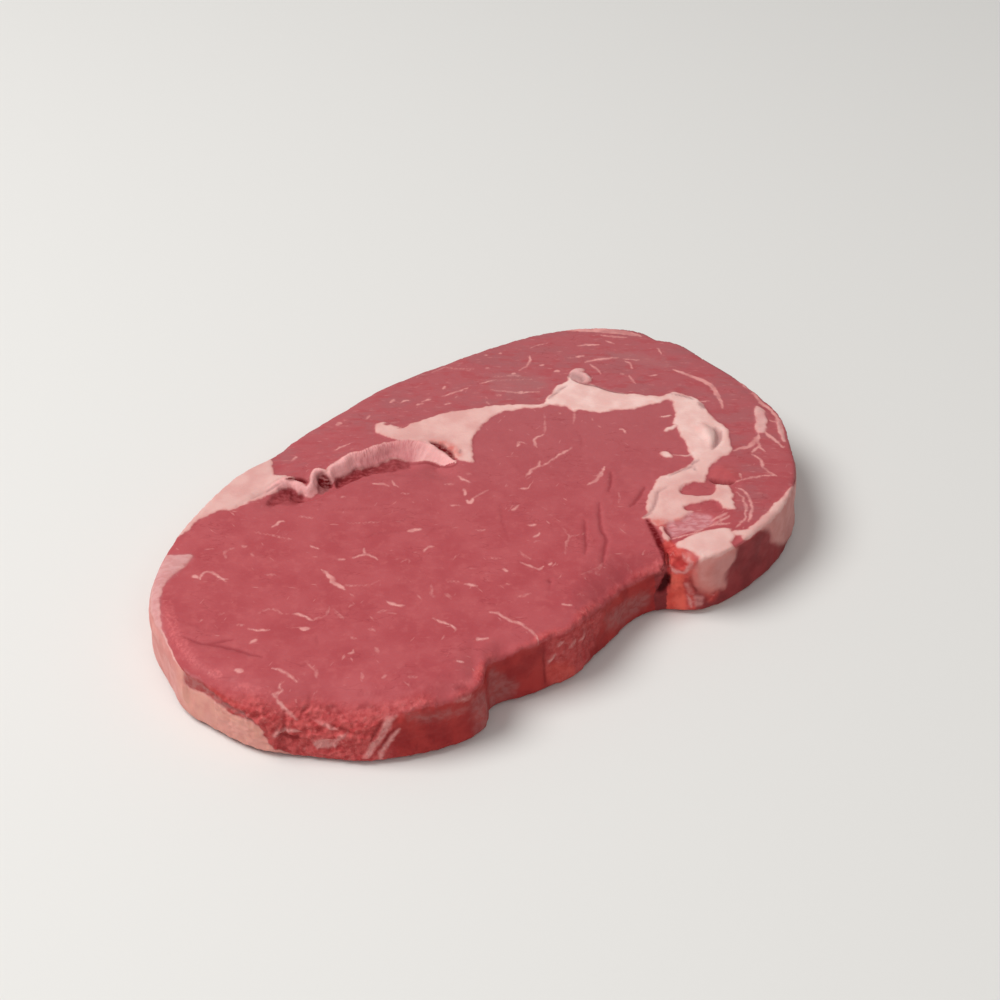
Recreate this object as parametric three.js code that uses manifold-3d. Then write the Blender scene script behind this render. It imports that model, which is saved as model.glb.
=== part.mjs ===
// A raw boneless rib-eye steak, lying on its lower cut face. Millimetres, +Z up.
// The origin is on the resting face, under the middle of the steak. +X runs along the steak towards
// the end where the fat seams meet, and +Y towards the cap muscle.
import * as THREE from "three";
import { ConvexGeometry } from "three/addons/geometries/ConvexGeometry.js";
import { mergeVertices } from "three/addons/utils/BufferGeometryUtils.js";
import Module from "manifold-3d";

// Driving dimensions
const LENGTH = 197;
const WIDTH = 121;
const THICKNESS = 19;

// How the knife left the edges: the upper edge is rounder than the one that is pressed flat below,
// and the corner at the near tail end slumps most.
const UPPER_EDGE_RADIUS = 3;
const LOWER_EDGE_RADIUS = 2;
const SLUMP = { x: -83, y: -41, radius: 5, reach: 22 };

// The steak seen from above, as the points where its outline turns, counterclockwise.
const LOBE_EDGE = [
  [24, -54.3], [28, -58.5], [34, -60.7], [45, -61], [56, -59.5], [65, -56.5],
  [77.3, -48.6], [85.2, -39], [92.3, -29], [96, -19.5], [98.3, -7], [98.5, 9.5],
];
const CAP_EDGE = [
  [98, 21.3], [94.5, 26], [93.8, 32.7], [85.7, 42], [75, 49.3], [62.5, 53.8], [45, 56.8],
  [27, 58.9], [12.5, 59.8], [-1.5, 57.9], [-20.5, 55.2], [-32.3, 52.3], [-44, 51.7], [-63.5, 43.8],
];
const TAIL_EDGE = [
  [-75, 37], [-86.4, 27.2], [-93, 18], [-95.3, 8], [-98, -4], [-96.3, -12], [-94.3, -19], [-91.2, -27],
];
const EYE_EDGE = [
  [-81, -37.8], [-73, -46.3], [-65.5, -51], [-56, -55.3], [-46.5, -57.3], [-42, -56.3], [-38.7, -52.2],
  [-34, -51.9], [-29, -54.2], [-21, -55.6], [-13, -57], [-4, -54.4], [5, -52.4], [14, -50.3], [20, -51.3],
];

// Where the muscles part: the seam that has opened under the cap's pleated fat, and a pit in the fat of
// the lobe. Depths run from the first point of a path to its last.
const OPEN_SEAM = {
  path: [[-43, 34], [-35, 32], [-23, 31.5], [-11, 28], [-2, 22], [5, 16]],
  reach: 5.5, depth: [1.5, 3],
};
const PLEATED_RIDGE = {
  path: [[-37, 41], [-24, 38], [-10, 37], [1, 32], [7, 25]],
  reach: 6.5, depth: [-1.2, -0.8],
};
const LOBE_PIT = { path: [[55, -37.5], [59, -37]], reach: 3, depth: [1.2, 1.2] };

// The gap between the eye and the lobe: a narrow wedge, deep at the near edge and running out inland.
const GAP_MOUTH = [21, -60];
const GAP_END = [31.5, -35.5];
const GAP_WIDTH = 7;
const GAP_FLOOR_AT_MOUTH = 1;
const GAP_FLOOR_AT_END = 17.5;

// The cut face swells over the lobe and the cap, and sags a little in the middle of the eye.
const SWELLS = [
  { x: 56, y: -34, reach: 26, height: 0.5 },
  { x: -8, y: 39, reach: 20, height: 0.5 },
  { x: -28, y: -10, reach: 50, height: -0.5 },
];

// How finely the skin is divided: steps round the outline, and rings on each face and corner.
const STEPS_ROUND = 160;
const UNDER_SHARES = [0, 0.4, 0.75];
const CORNER_STEPS = 3;
const WALL_STEPS = 2;
const MIDDLE_SHARES = [0, 0.18, 0.34];
const FINE_FROM = 0.46;
const FINE_RINGS = 22;

// The outline, drawn through its turning points and fitted to the length and width.
function steakOutline() {
  const turns = [...LOBE_EDGE, ...CAP_EDGE, ...TAIL_EDGE, ...EYE_EDGE];
  const curve = new THREE.CatmullRomCurve3(
    turns.map(([x, y]) => new THREE.Vector3(x, y, 0)), true, "centripetal");
  const points = curve.getSpacedPoints(STEPS_ROUND).slice(0, STEPS_ROUND);
  const box = new THREE.Box3().setFromPoints(points);
  const middle = box.getCenter(new THREE.Vector3());
  const size = box.getSize(new THREE.Vector3());
  const fit = new THREE.Vector3(LENGTH / size.x, WIDTH / size.y, 1);
  return points.map((point) => point.sub(middle).multiply(fit));
}

// The direction into the steak at each step of the outline.
function inwardNormals(outline) {
  const count = outline.length;
  return outline.map((_, i) => {
    const ahead = outline[(i + 1) % count];
    const behind = outline[(i + count - 1) % count];
    const along = ahead.clone().sub(behind).normalize();
    return new THREE.Vector3(-along.y, along.x, 0);
  });
}

// How far a point is from a path, and what share of the path lies before the nearest place on it.
function nearestOnPath(path, x, y) {
  let nearest = { distance: Infinity, share: 0 };
  for (let i = 0; i + 1 < path.length; i++) {
    const [ax, ay] = path[i];
    const dx = path[i + 1][0] - ax;
    const dy = path[i + 1][1] - ay;
    const t = THREE.MathUtils.clamp(((x - ax) * dx + (y - ay) * dy) / (dx * dx + dy * dy), 0, 1);
    const distance = Math.hypot(x - ax - t * dx, y - ay - t * dy);
    if (distance < nearest.distance) nearest = { distance, share: (i + t) / (path.length - 1) };
  }
  return nearest;
}

// A rounded groove along a path. A negative depth is a ridge.
function grooveDepth({ path, reach, depth }, x, y) {
  const { distance, share } = nearestOnPath(path, x, y);
  if (distance > reach) return 0;
  const profile = (1 + Math.cos((Math.PI * distance) / reach)) / 2;
  return profile * THREE.MathUtils.lerp(depth[0], depth[1], share);
}

function swellHeight({ x: cx, y: cy, reach, height }, x, y) {
  return height * Math.exp(-((x - cx) ** 2 + (y - cy) ** 2) / (reach * reach));
}

// The height of the upper cut face above a point.
function upperFaceHeight(x, y) {
  const grooves = [OPEN_SEAM, PLEATED_RIDGE, LOBE_PIT];
  const cut = grooves.reduce((sum, groove) => sum + grooveDepth(groove, x, y), 0);
  const swell = SWELLS.reduce((sum, bump) => sum + swellHeight(bump, x, y), 0);
  return THICKNESS + swell - cut;
}

function upperEdgeRadius(x, y) {
  const away = Math.hypot(x - SLUMP.x, y - SLUMP.y);
  return UPPER_EDGE_RADIUS + SLUMP.radius * Math.exp(-((away / SLUMP.reach) ** 2));
}

// The rings of the skin, from the middle of the resting face, out and up the side, to the middle of
// the cut face. share is the part of the way out from the middle, turn the angle round a corner.
function skinRings() {
  const quarter = Math.PI / 2;
  const rings = UNDER_SHARES.map((share) => ({ face: "under", share }));
  for (let i = 0; i <= CORNER_STEPS; i++) rings.push({ face: "lower corner", turn: (quarter * i) / CORNER_STEPS });
  for (let i = 1; i < WALL_STEPS; i++) rings.push({ face: "side", rise: i / WALL_STEPS });
  for (let i = 0; i <= CORNER_STEPS; i++) rings.push({ face: "upper corner", turn: (quarter * i) / CORNER_STEPS });
  for (let i = FINE_RINGS - 1; i >= 0; i--) {
    rings.push({ face: "upper", share: FINE_FROM + ((1 - FINE_FROM) * i) / FINE_RINGS });
  }
  for (const share of [...MIDDLE_SHARES].reverse()) rings.push({ face: "upper", share });
  return rings;
}

// Where one ring crosses one step of the outline.
function skinPoint(ring, edge, inward) {
  const edgeRadius = upperEdgeRadius(edge.x, edge.y);
  const top = (x, y) => upperFaceHeight(x, y);
  const insetBy = (inset) => edge.clone().addScaledVector(inward, inset);
  if (ring.face === "under") return insetBy(LOWER_EDGE_RADIUS).multiplyScalar(ring.share);
  if (ring.face === "upper") {
    const point = insetBy(edgeRadius).multiplyScalar(ring.share);
    return point.setZ(top(point.x, point.y));
  }
  const rim = insetBy(edgeRadius);
  const rimHeight = top(rim.x, rim.y);
  const shoulder = Math.max(rimHeight - edgeRadius, LOWER_EDGE_RADIUS + 1);
  if (ring.face === "lower corner") {
    const point = insetBy(LOWER_EDGE_RADIUS * (1 - Math.sin(ring.turn)));
    return point.setZ(LOWER_EDGE_RADIUS * (1 - Math.cos(ring.turn)));
  }
  if (ring.face === "side") {
    return edge.clone().setZ(THREE.MathUtils.lerp(LOWER_EDGE_RADIUS, shoulder, ring.rise));
  }
  const point = insetBy(edgeRadius * (1 - Math.cos(ring.turn)));
  return point.setZ(shoulder + (rimHeight - shoulder) * Math.sin(ring.turn));
}

// A puck turned on a lathe, with every ring then moulded to the steak's own outline and relief.
function steakGeometry() {
  const outline = steakOutline();
  const inward = inwardNormals(outline);
  const rings = skinRings();
  const last = rings.length - 1;
  const profile = rings.map((_, j) => new THREE.Vector2(Math.sin((Math.PI * j) / last), j));
  const puck = new THREE.LatheGeometry(profile, STEPS_ROUND);
  const position = puck.getAttribute("position");
  for (let i = 0; i <= STEPS_ROUND; i++) {
    const step = i % STEPS_ROUND;
    rings.forEach((ring, j) => {
      const point = skinPoint(ring, outline[step], inward[step]);
      position.setXYZ(i * rings.length + j, point.x, point.y, point.z);
    });
  }
  return puck;
}

// The wedge of air between the eye and the lobe.
function lobeGapGeometry() {
  const mouth = new THREE.Vector3(...GAP_MOUTH, 0);
  const end = new THREE.Vector3(...GAP_END, 0);
  const along = end.clone().sub(mouth).normalize();
  const side = new THREE.Vector3(-along.y, along.x, 0).multiplyScalar(GAP_WIDTH / 2);
  const clear = THICKNESS * 1.25;
  return new ConvexGeometry([
    mouth.clone().add(side).setZ(clear),
    mouth.clone().sub(side).setZ(clear),
    end.clone().setZ(clear),
    mouth.clone().setZ(GAP_FLOOR_AT_MOUTH),
    end.clone().setZ(GAP_FLOOR_AT_END),
  ]);
}

function toSolid(wasm, geometry) {
  const bare = geometry.clone();
  bare.deleteAttribute("normal");
  bare.deleteAttribute("uv");
  const merged = mergeVertices(bare);
  return new wasm.Manifold(new wasm.Mesh({
    numProp: 3,
    vertProperties: new Float32Array(merged.getAttribute("position").array),
    triVerts: new Uint32Array(merged.index.array),
  }));
}

function toGeometry(solid) {
  const mesh = solid.getMesh();
  const geometry = new THREE.BufferGeometry();
  geometry.setAttribute("position", new THREE.BufferAttribute(mesh.vertProperties, mesh.numProp));
  geometry.setIndex(new THREE.BufferAttribute(mesh.triVerts, 1));
  geometry.computeVertexNormals();
  return geometry;
}

const wasm = await Module();
wasm.setup();
const steakSolid = toSolid(wasm, steakGeometry()).subtract(toSolid(wasm, lobeGapGeometry()));

const rawBeef = new THREE.MeshStandardMaterial({ color: 0xb4585c, roughness: 0.5, metalness: 0 });
const steak = new THREE.Mesh(toGeometry(steakSolid), rawBeef);
steak.name = "beef_steak";

const part = new THREE.Group();
part.add(steak);

export default part;
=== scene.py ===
import math

import bpy
import numpy as np
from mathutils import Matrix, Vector, noise


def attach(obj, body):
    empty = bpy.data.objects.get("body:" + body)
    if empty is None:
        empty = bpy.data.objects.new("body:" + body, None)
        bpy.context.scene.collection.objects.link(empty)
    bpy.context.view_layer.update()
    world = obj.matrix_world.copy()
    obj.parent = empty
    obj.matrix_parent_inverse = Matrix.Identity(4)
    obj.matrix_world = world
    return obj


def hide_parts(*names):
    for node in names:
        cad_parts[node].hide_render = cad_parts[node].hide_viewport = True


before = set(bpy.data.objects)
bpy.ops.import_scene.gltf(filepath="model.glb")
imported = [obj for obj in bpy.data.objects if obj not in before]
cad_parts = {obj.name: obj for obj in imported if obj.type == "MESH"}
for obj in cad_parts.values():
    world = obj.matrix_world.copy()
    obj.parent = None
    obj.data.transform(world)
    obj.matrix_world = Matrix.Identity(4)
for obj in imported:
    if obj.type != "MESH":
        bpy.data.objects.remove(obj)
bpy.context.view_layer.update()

# The steak
# One slice of raw beef rib, cut by a knife above and below and lying on its lower face. A large eye muscle
# lies beside a cap muscle, with seams of white fat between them and a small lobe at the near right corner.
MM = 0.001
COARSE_FACE = 1.5
MERGE_DISTANCE = 0.01
STEAK_NODE = "beef_steak"

bpy.ops.object.select_all(action="DESELECT")
steak = bpy.data.objects.new("steak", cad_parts[STEAK_NODE].data.copy())
bpy.context.scene.collection.objects.link(steak)
bpy.context.view_layer.objects.active = steak
steak.select_set(True)


def shape_with(kind, **settings):
    modifier = steak.modifiers.new(kind.lower(), kind)
    for name, value in settings.items():
        setattr(modifier, name, value)
    bpy.ops.object.modifier_apply(modifier=modifier.name)


def divide_faces(wanted):
    mesh = steak.data
    bpy.context.tool_settings.mesh_select_mode = (False, False, True)
    mesh.vertices.foreach_set("select", np.zeros(len(mesh.vertices), bool))
    mesh.edges.foreach_set("select", np.zeros(len(mesh.edges), bool))
    mesh.polygons.foreach_set("select", wanted)
    bpy.ops.object.mode_set(mode="EDIT")
    bpy.ops.mesh.subdivide(number_cuts=1, smoothness=0, ngon=False)
    bpy.ops.object.mode_set(mode="OBJECT")


def face_places():
    mesh = steak.data
    centres = np.zeros(len(mesh.polygons) * 3)
    normals = np.zeros(len(mesh.polygons) * 3)
    mesh.polygons.foreach_get("center", centres)
    mesh.polygons.foreach_get("normal", normals)
    return centres.reshape(-1, 3) / MM, normals.reshape(-1, 3)


def point_places():
    mesh = steak.data
    places = np.zeros(len(mesh.vertices) * 3)
    normals = np.zeros(len(mesh.vertices) * 3)
    mesh.vertices.foreach_get("co", places)
    mesh.vertex_normals.foreach_get("vector", normals)
    return places.reshape(-1, 3) / MM, normals.reshape(-1, 3)


def move_points(places):
    steak.data.vertices.foreach_set("co", (places * MM).ravel())
    steak.data.update()


# The slice's skin: the solid's own form, evenly divided, with finer faces on the cut face and the sides.
bpy.ops.object.mode_set(mode="EDIT")
bpy.ops.mesh.select_all(action="SELECT")
bpy.ops.mesh.remove_doubles(threshold=MERGE_DISTANCE * MM)
bpy.ops.object.mode_set(mode="OBJECT")

MIDDLE_LOW, MIDDLE_HIGH = 5.0, 10.5
UNDERSIDE = -0.6
solid_points = point_places()[0]
waist = solid_points[(solid_points[:, 2] > MIDDLE_LOW) & (solid_points[:, 2] < MIDDLE_HIGH)][:, :2]
waist = waist[np.argsort(np.arctan2(waist[:, 1], waist[:, 0]))]

shape_with("REMESH", mode="VOXEL", voxel_size=COARSE_FACE * MM)
shape_with("SMOOTH", factor=0.5, iterations=4)
centres, normals = face_places()
divide_faces(normals[:, 2] > UNDERSIDE)
shape_with("SMOOTH", factor=0.5, iterations=2)


# Lines and outlines on the steak are given in millimetres, each by the points where it turns.
def smooth_step(low, high, values):
    share = np.clip((values - low) / (high - low), 0, 1)
    return share * share * (3 - 2 * share)


def curved(points, closed=False, steps=4):
    points = np.array(points, float)
    count = len(points)
    line = []
    for i in range(count if closed else count - 1):
        spots = [i - 1, i, i + 1, i + 2]
        spots = [k % count for k in spots] if closed else [min(max(k, 0), count - 1) for k in spots]
        before, here, after, beyond = points[spots]
        for t in np.arange(steps) / steps:
            line.append(0.5 * (2 * here + (after - before) * t
                               + (2 * before - 5 * here + 4 * after - beyond) * t ** 2
                               + (3 * here - before - 3 * after + beyond) * t ** 3))
    line.append(points[0] if closed else points[-1])
    return np.array(line)


def line_distance(places, line):
    nearest = np.full(len(places), np.inf)
    along = np.zeros(len(places))
    side = np.ones(len(places))
    run = 0.0
    for start, end in zip(line[:-1], line[1:]):
        step = end - start
        length = math.hypot(*step)
        if length == 0:
            continue
        offset = places - start
        share = np.clip(offset @ step / length ** 2, 0, 1)
        away = np.hypot(offset[:, 0] - share * step[0], offset[:, 1] - share * step[1])
        closer = away < nearest
        nearest = np.where(closer, away, nearest)
        along = np.where(closer, run + share * length, along)
        turn = step[0] * offset[:, 1] - step[1] * offset[:, 0]
        side = np.where(closer, np.sign(turn), side)
        run += length
    return nearest, along, side


FAR_OUT = 8.0
THINNING = 0.65


def depth_in_outline(places, points, steps=4):
    # Millimetres inside the outline, negative outside it.
    line = curved(points, closed=True, steps=steps)
    low, high = line.min(0) - FAR_OUT, line.max(0) + FAR_OUT
    near = np.all((places > low) & (places < high), axis=1)
    depth = np.full(len(places), -FAR_OUT)
    spots = places[near]
    nearest = line_distance(spots, line)[0]
    enclosed = np.zeros(len(spots), bool)
    for (ax, ay), (bx, by) in zip(line[:-1], line[1:]):
        if ay == by:
            continue
        crosses = (spots[:, 1] > ay) != (spots[:, 1] > by)
        enclosed ^= crosses & (spots[:, 0] < ax + (bx - ax) * (spots[:, 1] - ay) / (by - ay))
    depth[near] = np.where(enclosed, nearest, -nearest)
    return depth


def depth_in_stroke(places, points, half_width):
    # The same for a stroke. A long one is widest in the middle and thins out to its ends,
    # a short one is a blot.
    line = curved(points) if len(points) > 2 else np.array(points, float)
    low, high = line.min(0) - FAR_OUT / 2, line.max(0) + FAR_OUT / 2
    near = np.all((places > low) & (places < high), axis=1)
    depth = np.full(len(places), -FAR_OUT)
    nearest, along, _ = line_distance(places[near], line)
    whole = np.hypot(*np.diff(line, axis=0).T).sum()
    taper = min(whole / (8 * half_width), 1)
    depth[near] = half_width * (1 - THINNING * taper * np.abs(2 * along / whole - 1) ** 3) - nearest
    return depth


def deepest(places, outlines=(), strokes=()):
    depths = [depth_in_outline(places, points) for points in outlines]
    depths += [depth_in_stroke(places, points, half_width) for half_width, points in strokes]
    return np.max(depths, axis=0)


def grain(places, size, seed=0):
    # Smooth unevenness between about -1 and 1, with lumps of the given size in millimetres.
    shift = Vector((seed * 17.3, seed * 5.1, seed * 9.7))
    return np.array([noise.noise(Vector(place) / size + shift) for place in places])


# The fat on the cut face. The areas at the edge reach past it, so that they run on down the side.
LEFT_WEDGE = [(-76, 40), (-62, 50), (-46, 57), (-33, 56), (-33.3, 49.8), (-36, 45.3), (-36.6, 43.3),
              (-35.2, 40.8), (-36, 38.3), (-40, 37.8), (-45, 38.2), (-51.5, 38.7), (-55, 39.3), (-58, 40.6),
              (-63.6, 40.9), (-70, 38.5)]
LEFT_PATCH = [(-84, 36.5), (-79, 35), (-76.2, 32), (-73.3, 29.7), (-74.7, 27.9), (-78.8, 26.2), (-82.5, 25),
              (-85.3, 23.8), (-87.4, 22), (-90.4, 17.8), (-93.6, 12.1), (-95.8, 6.1), (-97.6, 0.9),
              (-99, -3), (-103, -3), (-103, 25), (-92, 36)]
CENTRE_FAT = [(-2.9, 41.3), (-1.5, 43.5), (-0.3, 44.4), (1.1, 44.5), (2.8, 43), (3.2, 40.8), (4.4, 38.9),
              (6.7, 38.8), (12, 38), (18, 36.9), (26, 33.3), (34, 29.3), (39.3, 25.2), (43, 21.9),
              (42, 20.9), (36, 24.6), (31, 26.5), (26, 26), (20.3, 23.8), (17.5, 22.2), (15.8, 20.7),
              (13.7, 18), (11.9, 15.3), (10.3, 13), (8.7, 14.2), (7.9, 16.2), (7.4, 18.3), (6.6, 20),
              (6.2, 21.5), (5.4, 25), (3, 29.5), (-1, 33.5), (-2.2, 38.7)]
BAR_FAT = [(43.5, 21.6), (46.7, 23.4), (49.6, 24.8), (51.6, 26.1), (54.1, 26), (56.8, 26.3), (58.6, 27.8),
           (59.2, 26.8), (58.3, 24.2), (59.7, 21.8), (61.6, 19.3), (62.2, 16.8), (63.2, 13.9), (65, 10.9),
           (67.4, 8.4), (68.9, 6.1), (71.4, 3.7), (73.2, 2), (75.6, 1.9), (77.2, 1.1), (78.7, -1.7),
           (79.6, -4.4), (79.6, -6.9), (78.6, -10.4), (77.2, -13.6), (76.1, -17.1), (76.4, -19.8),
           (75.5, -22.4), (73.3, -25.2), (71, -28), (69.8, -29.8), (67.6, -30.8), (65, -30.5),
           (63.4, -30.9), (59.8, -31.6), (57.7, -32.5), (56.1, -33.8), (54, -35.2), (53.4, -36),
           (55.4, -38), (56.4, -40), (56.8, -41.5), (56.1, -43.3), (54.7, -45.4), (53.1, -46.8),
           (51.9, -48.4), (50.6, -50), (49.4, -49), (48.6, -47.4), (47.6, -46), (44.5, -44.5), (42, -43),
           (39.1, -43.5), (36.6, -43.4), (34.8, -42.5), (32.3, -41.9), (30, -41.4), (29.2, -39.6),
           (30, -38), (28.7, -36.8), (28.7, -35.9), (30.5, -35.7), (32.4, -34.2), (34.4, -32.1),
           (37.6, -29.4), (39.6, -28.5), (41.3, -27.9), (43, -26.5), (45.7, -26.2), (48.8, -27.1),
           (51.8, -27.4), (55.6, -27.1), (57.6, -26.5), (58.4, -24.9), (59.7, -22.3), (61.6, -19.2),
           (62.7, -16.3), (64.2, -13.8), (65.9, -11.4), (65.7, -9.8), (67.4, -8.8), (69.8, -6.9),
           (71.3, -4.3), (72.9, -2.2), (73, -0.8), (72, 0), (69.1, 0.1), (65.7, 1.5), (62, 2.6),
           (59.2, 4.5), (56.3, 6.5), (54.2, 7.3), (51.8, 9.8), (49.1, 12.6), (47.9, 14.1), (48.1, 15.9),
           (46.8, 17.7), (44.9, 20)]
LOBE_RIDGE = [(29.4, -41.9), (30.6, -42.7), (29.3, -45), (28.8, -46.8), (27.6, -48), (27, -47.2),
              (26.9, -45.8), (28.2, -44.1)]
BLOCK_TOP = [(28.5, -49.6), (32, -50), (36.6, -50.7), (40, -52), (43.8, -54.2), (43.4, -56.2),
             (42.6, -57.5), (40.5, -58.8), (39.7, -60), (40, -64), (29.5, -64), (29, -57), (28.4, -53.4),
             (27.7, -51.3)]
NEAR_RIM_FAT = [(43.8, -58.6), (47.2, -57.9), (51.6, -56.9), (57.1, -56), (61.1, -54.6), (64.5, -54),
                (68, -53), (72, -52.4), (74, -56), (66, -62), (50, -64), (44, -62)]
CURL_HOLLOW = [(58.6, 27), (60, 28), (61.4, 27.4), (62, 25.5), (61.4, 23.4), (60, 22.6), (58.6, 25)]
CURL = [(58.6, 26.4), (60.5, 28.9), (63, 29.2), (64.6, 27.7), (64.3, 26.9), (62.7, 26.9), (63.6, 25.6),
        (63.7, 24.2), (62.9, 22.5), (61.6, 21.2), (60, 22)]
RIGHT_BAND = [(90.2, -19.2), (86.4, -22.8), (83, -26.3), (80.8, -29), (83.3, -29.8), (86.3, -27.7),
              (89.4, -24.4), (90.8, -21.5)]
RIGHT_RIM_BAND = [(90.5, -27.5), (90.1, -29.2), (87.7, -32.6), (84.8, -36.2), (84.3, -35.4), (86.7, -32.1),
                  (89.1, -28.7)]
FAT_AREAS = [LEFT_WEDGE, LEFT_PATCH, CENTRE_FAT, BAR_FAT, LOBE_RIDGE, BLOCK_TOP, NEAR_RIM_FAT, CURL,
             RIGHT_BAND, RIGHT_RIM_BAND]
# Muscle that shows inside the fat of the lobe.
LEAN_ISLANDS = [
    [(45.2, -34), (46.7, -33.2), (48.9, -33.4), (51.4, -34.6), (53.4, -36.3), (55, -37.8), (53.8, -39.4),
     (52.1, -40.5), (50.3, -41), (47.5, -39.4), (45.8, -37.6), (44.3, -35.6)],
    [(40.6, -40.2), (41.4, -39.8), (43.6, -40.7), (45.2, -41.8), (46.6, -41.7), (48.5, -42.5), (49.3, -44),
     (48.8, -45.8), (48.3, -47.7), (46.3, -48), (44.4, -46.5), (43, -44.3), (41.4, -42.9), (40.4, -41.4)],
]
LEAN_STROKES = [
    (0.5, [(3.3, 39.1), (4.8, 38.6), (7, 38.7)]), (0.45, [(1.4, 42.9), (3, 42.6), (4.9, 42.7)]),
]
FAT_STROKES = [
    (0.9, [(38, 24.8), (42.5, 21.3), (46, 21)]), (0.9, [(61.7, -11), (63.6, -11.2), (66, -11.3)]),
    (0.35, [(65.3, -5.1), (68.4, -6.8)]), (1.3, [(53.6, -19), (53.8, -20.4)]),
    (0.4, [(54.5, -20.6), (57.9, -24.2), (59.5, -24)]), (0.4, [(33.5, -43.2), (33.7, -44.6)]),
    (1.2, [(43.4, -56.6), (45.4, -58.2), (47.6, -58.8)]),
]
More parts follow.
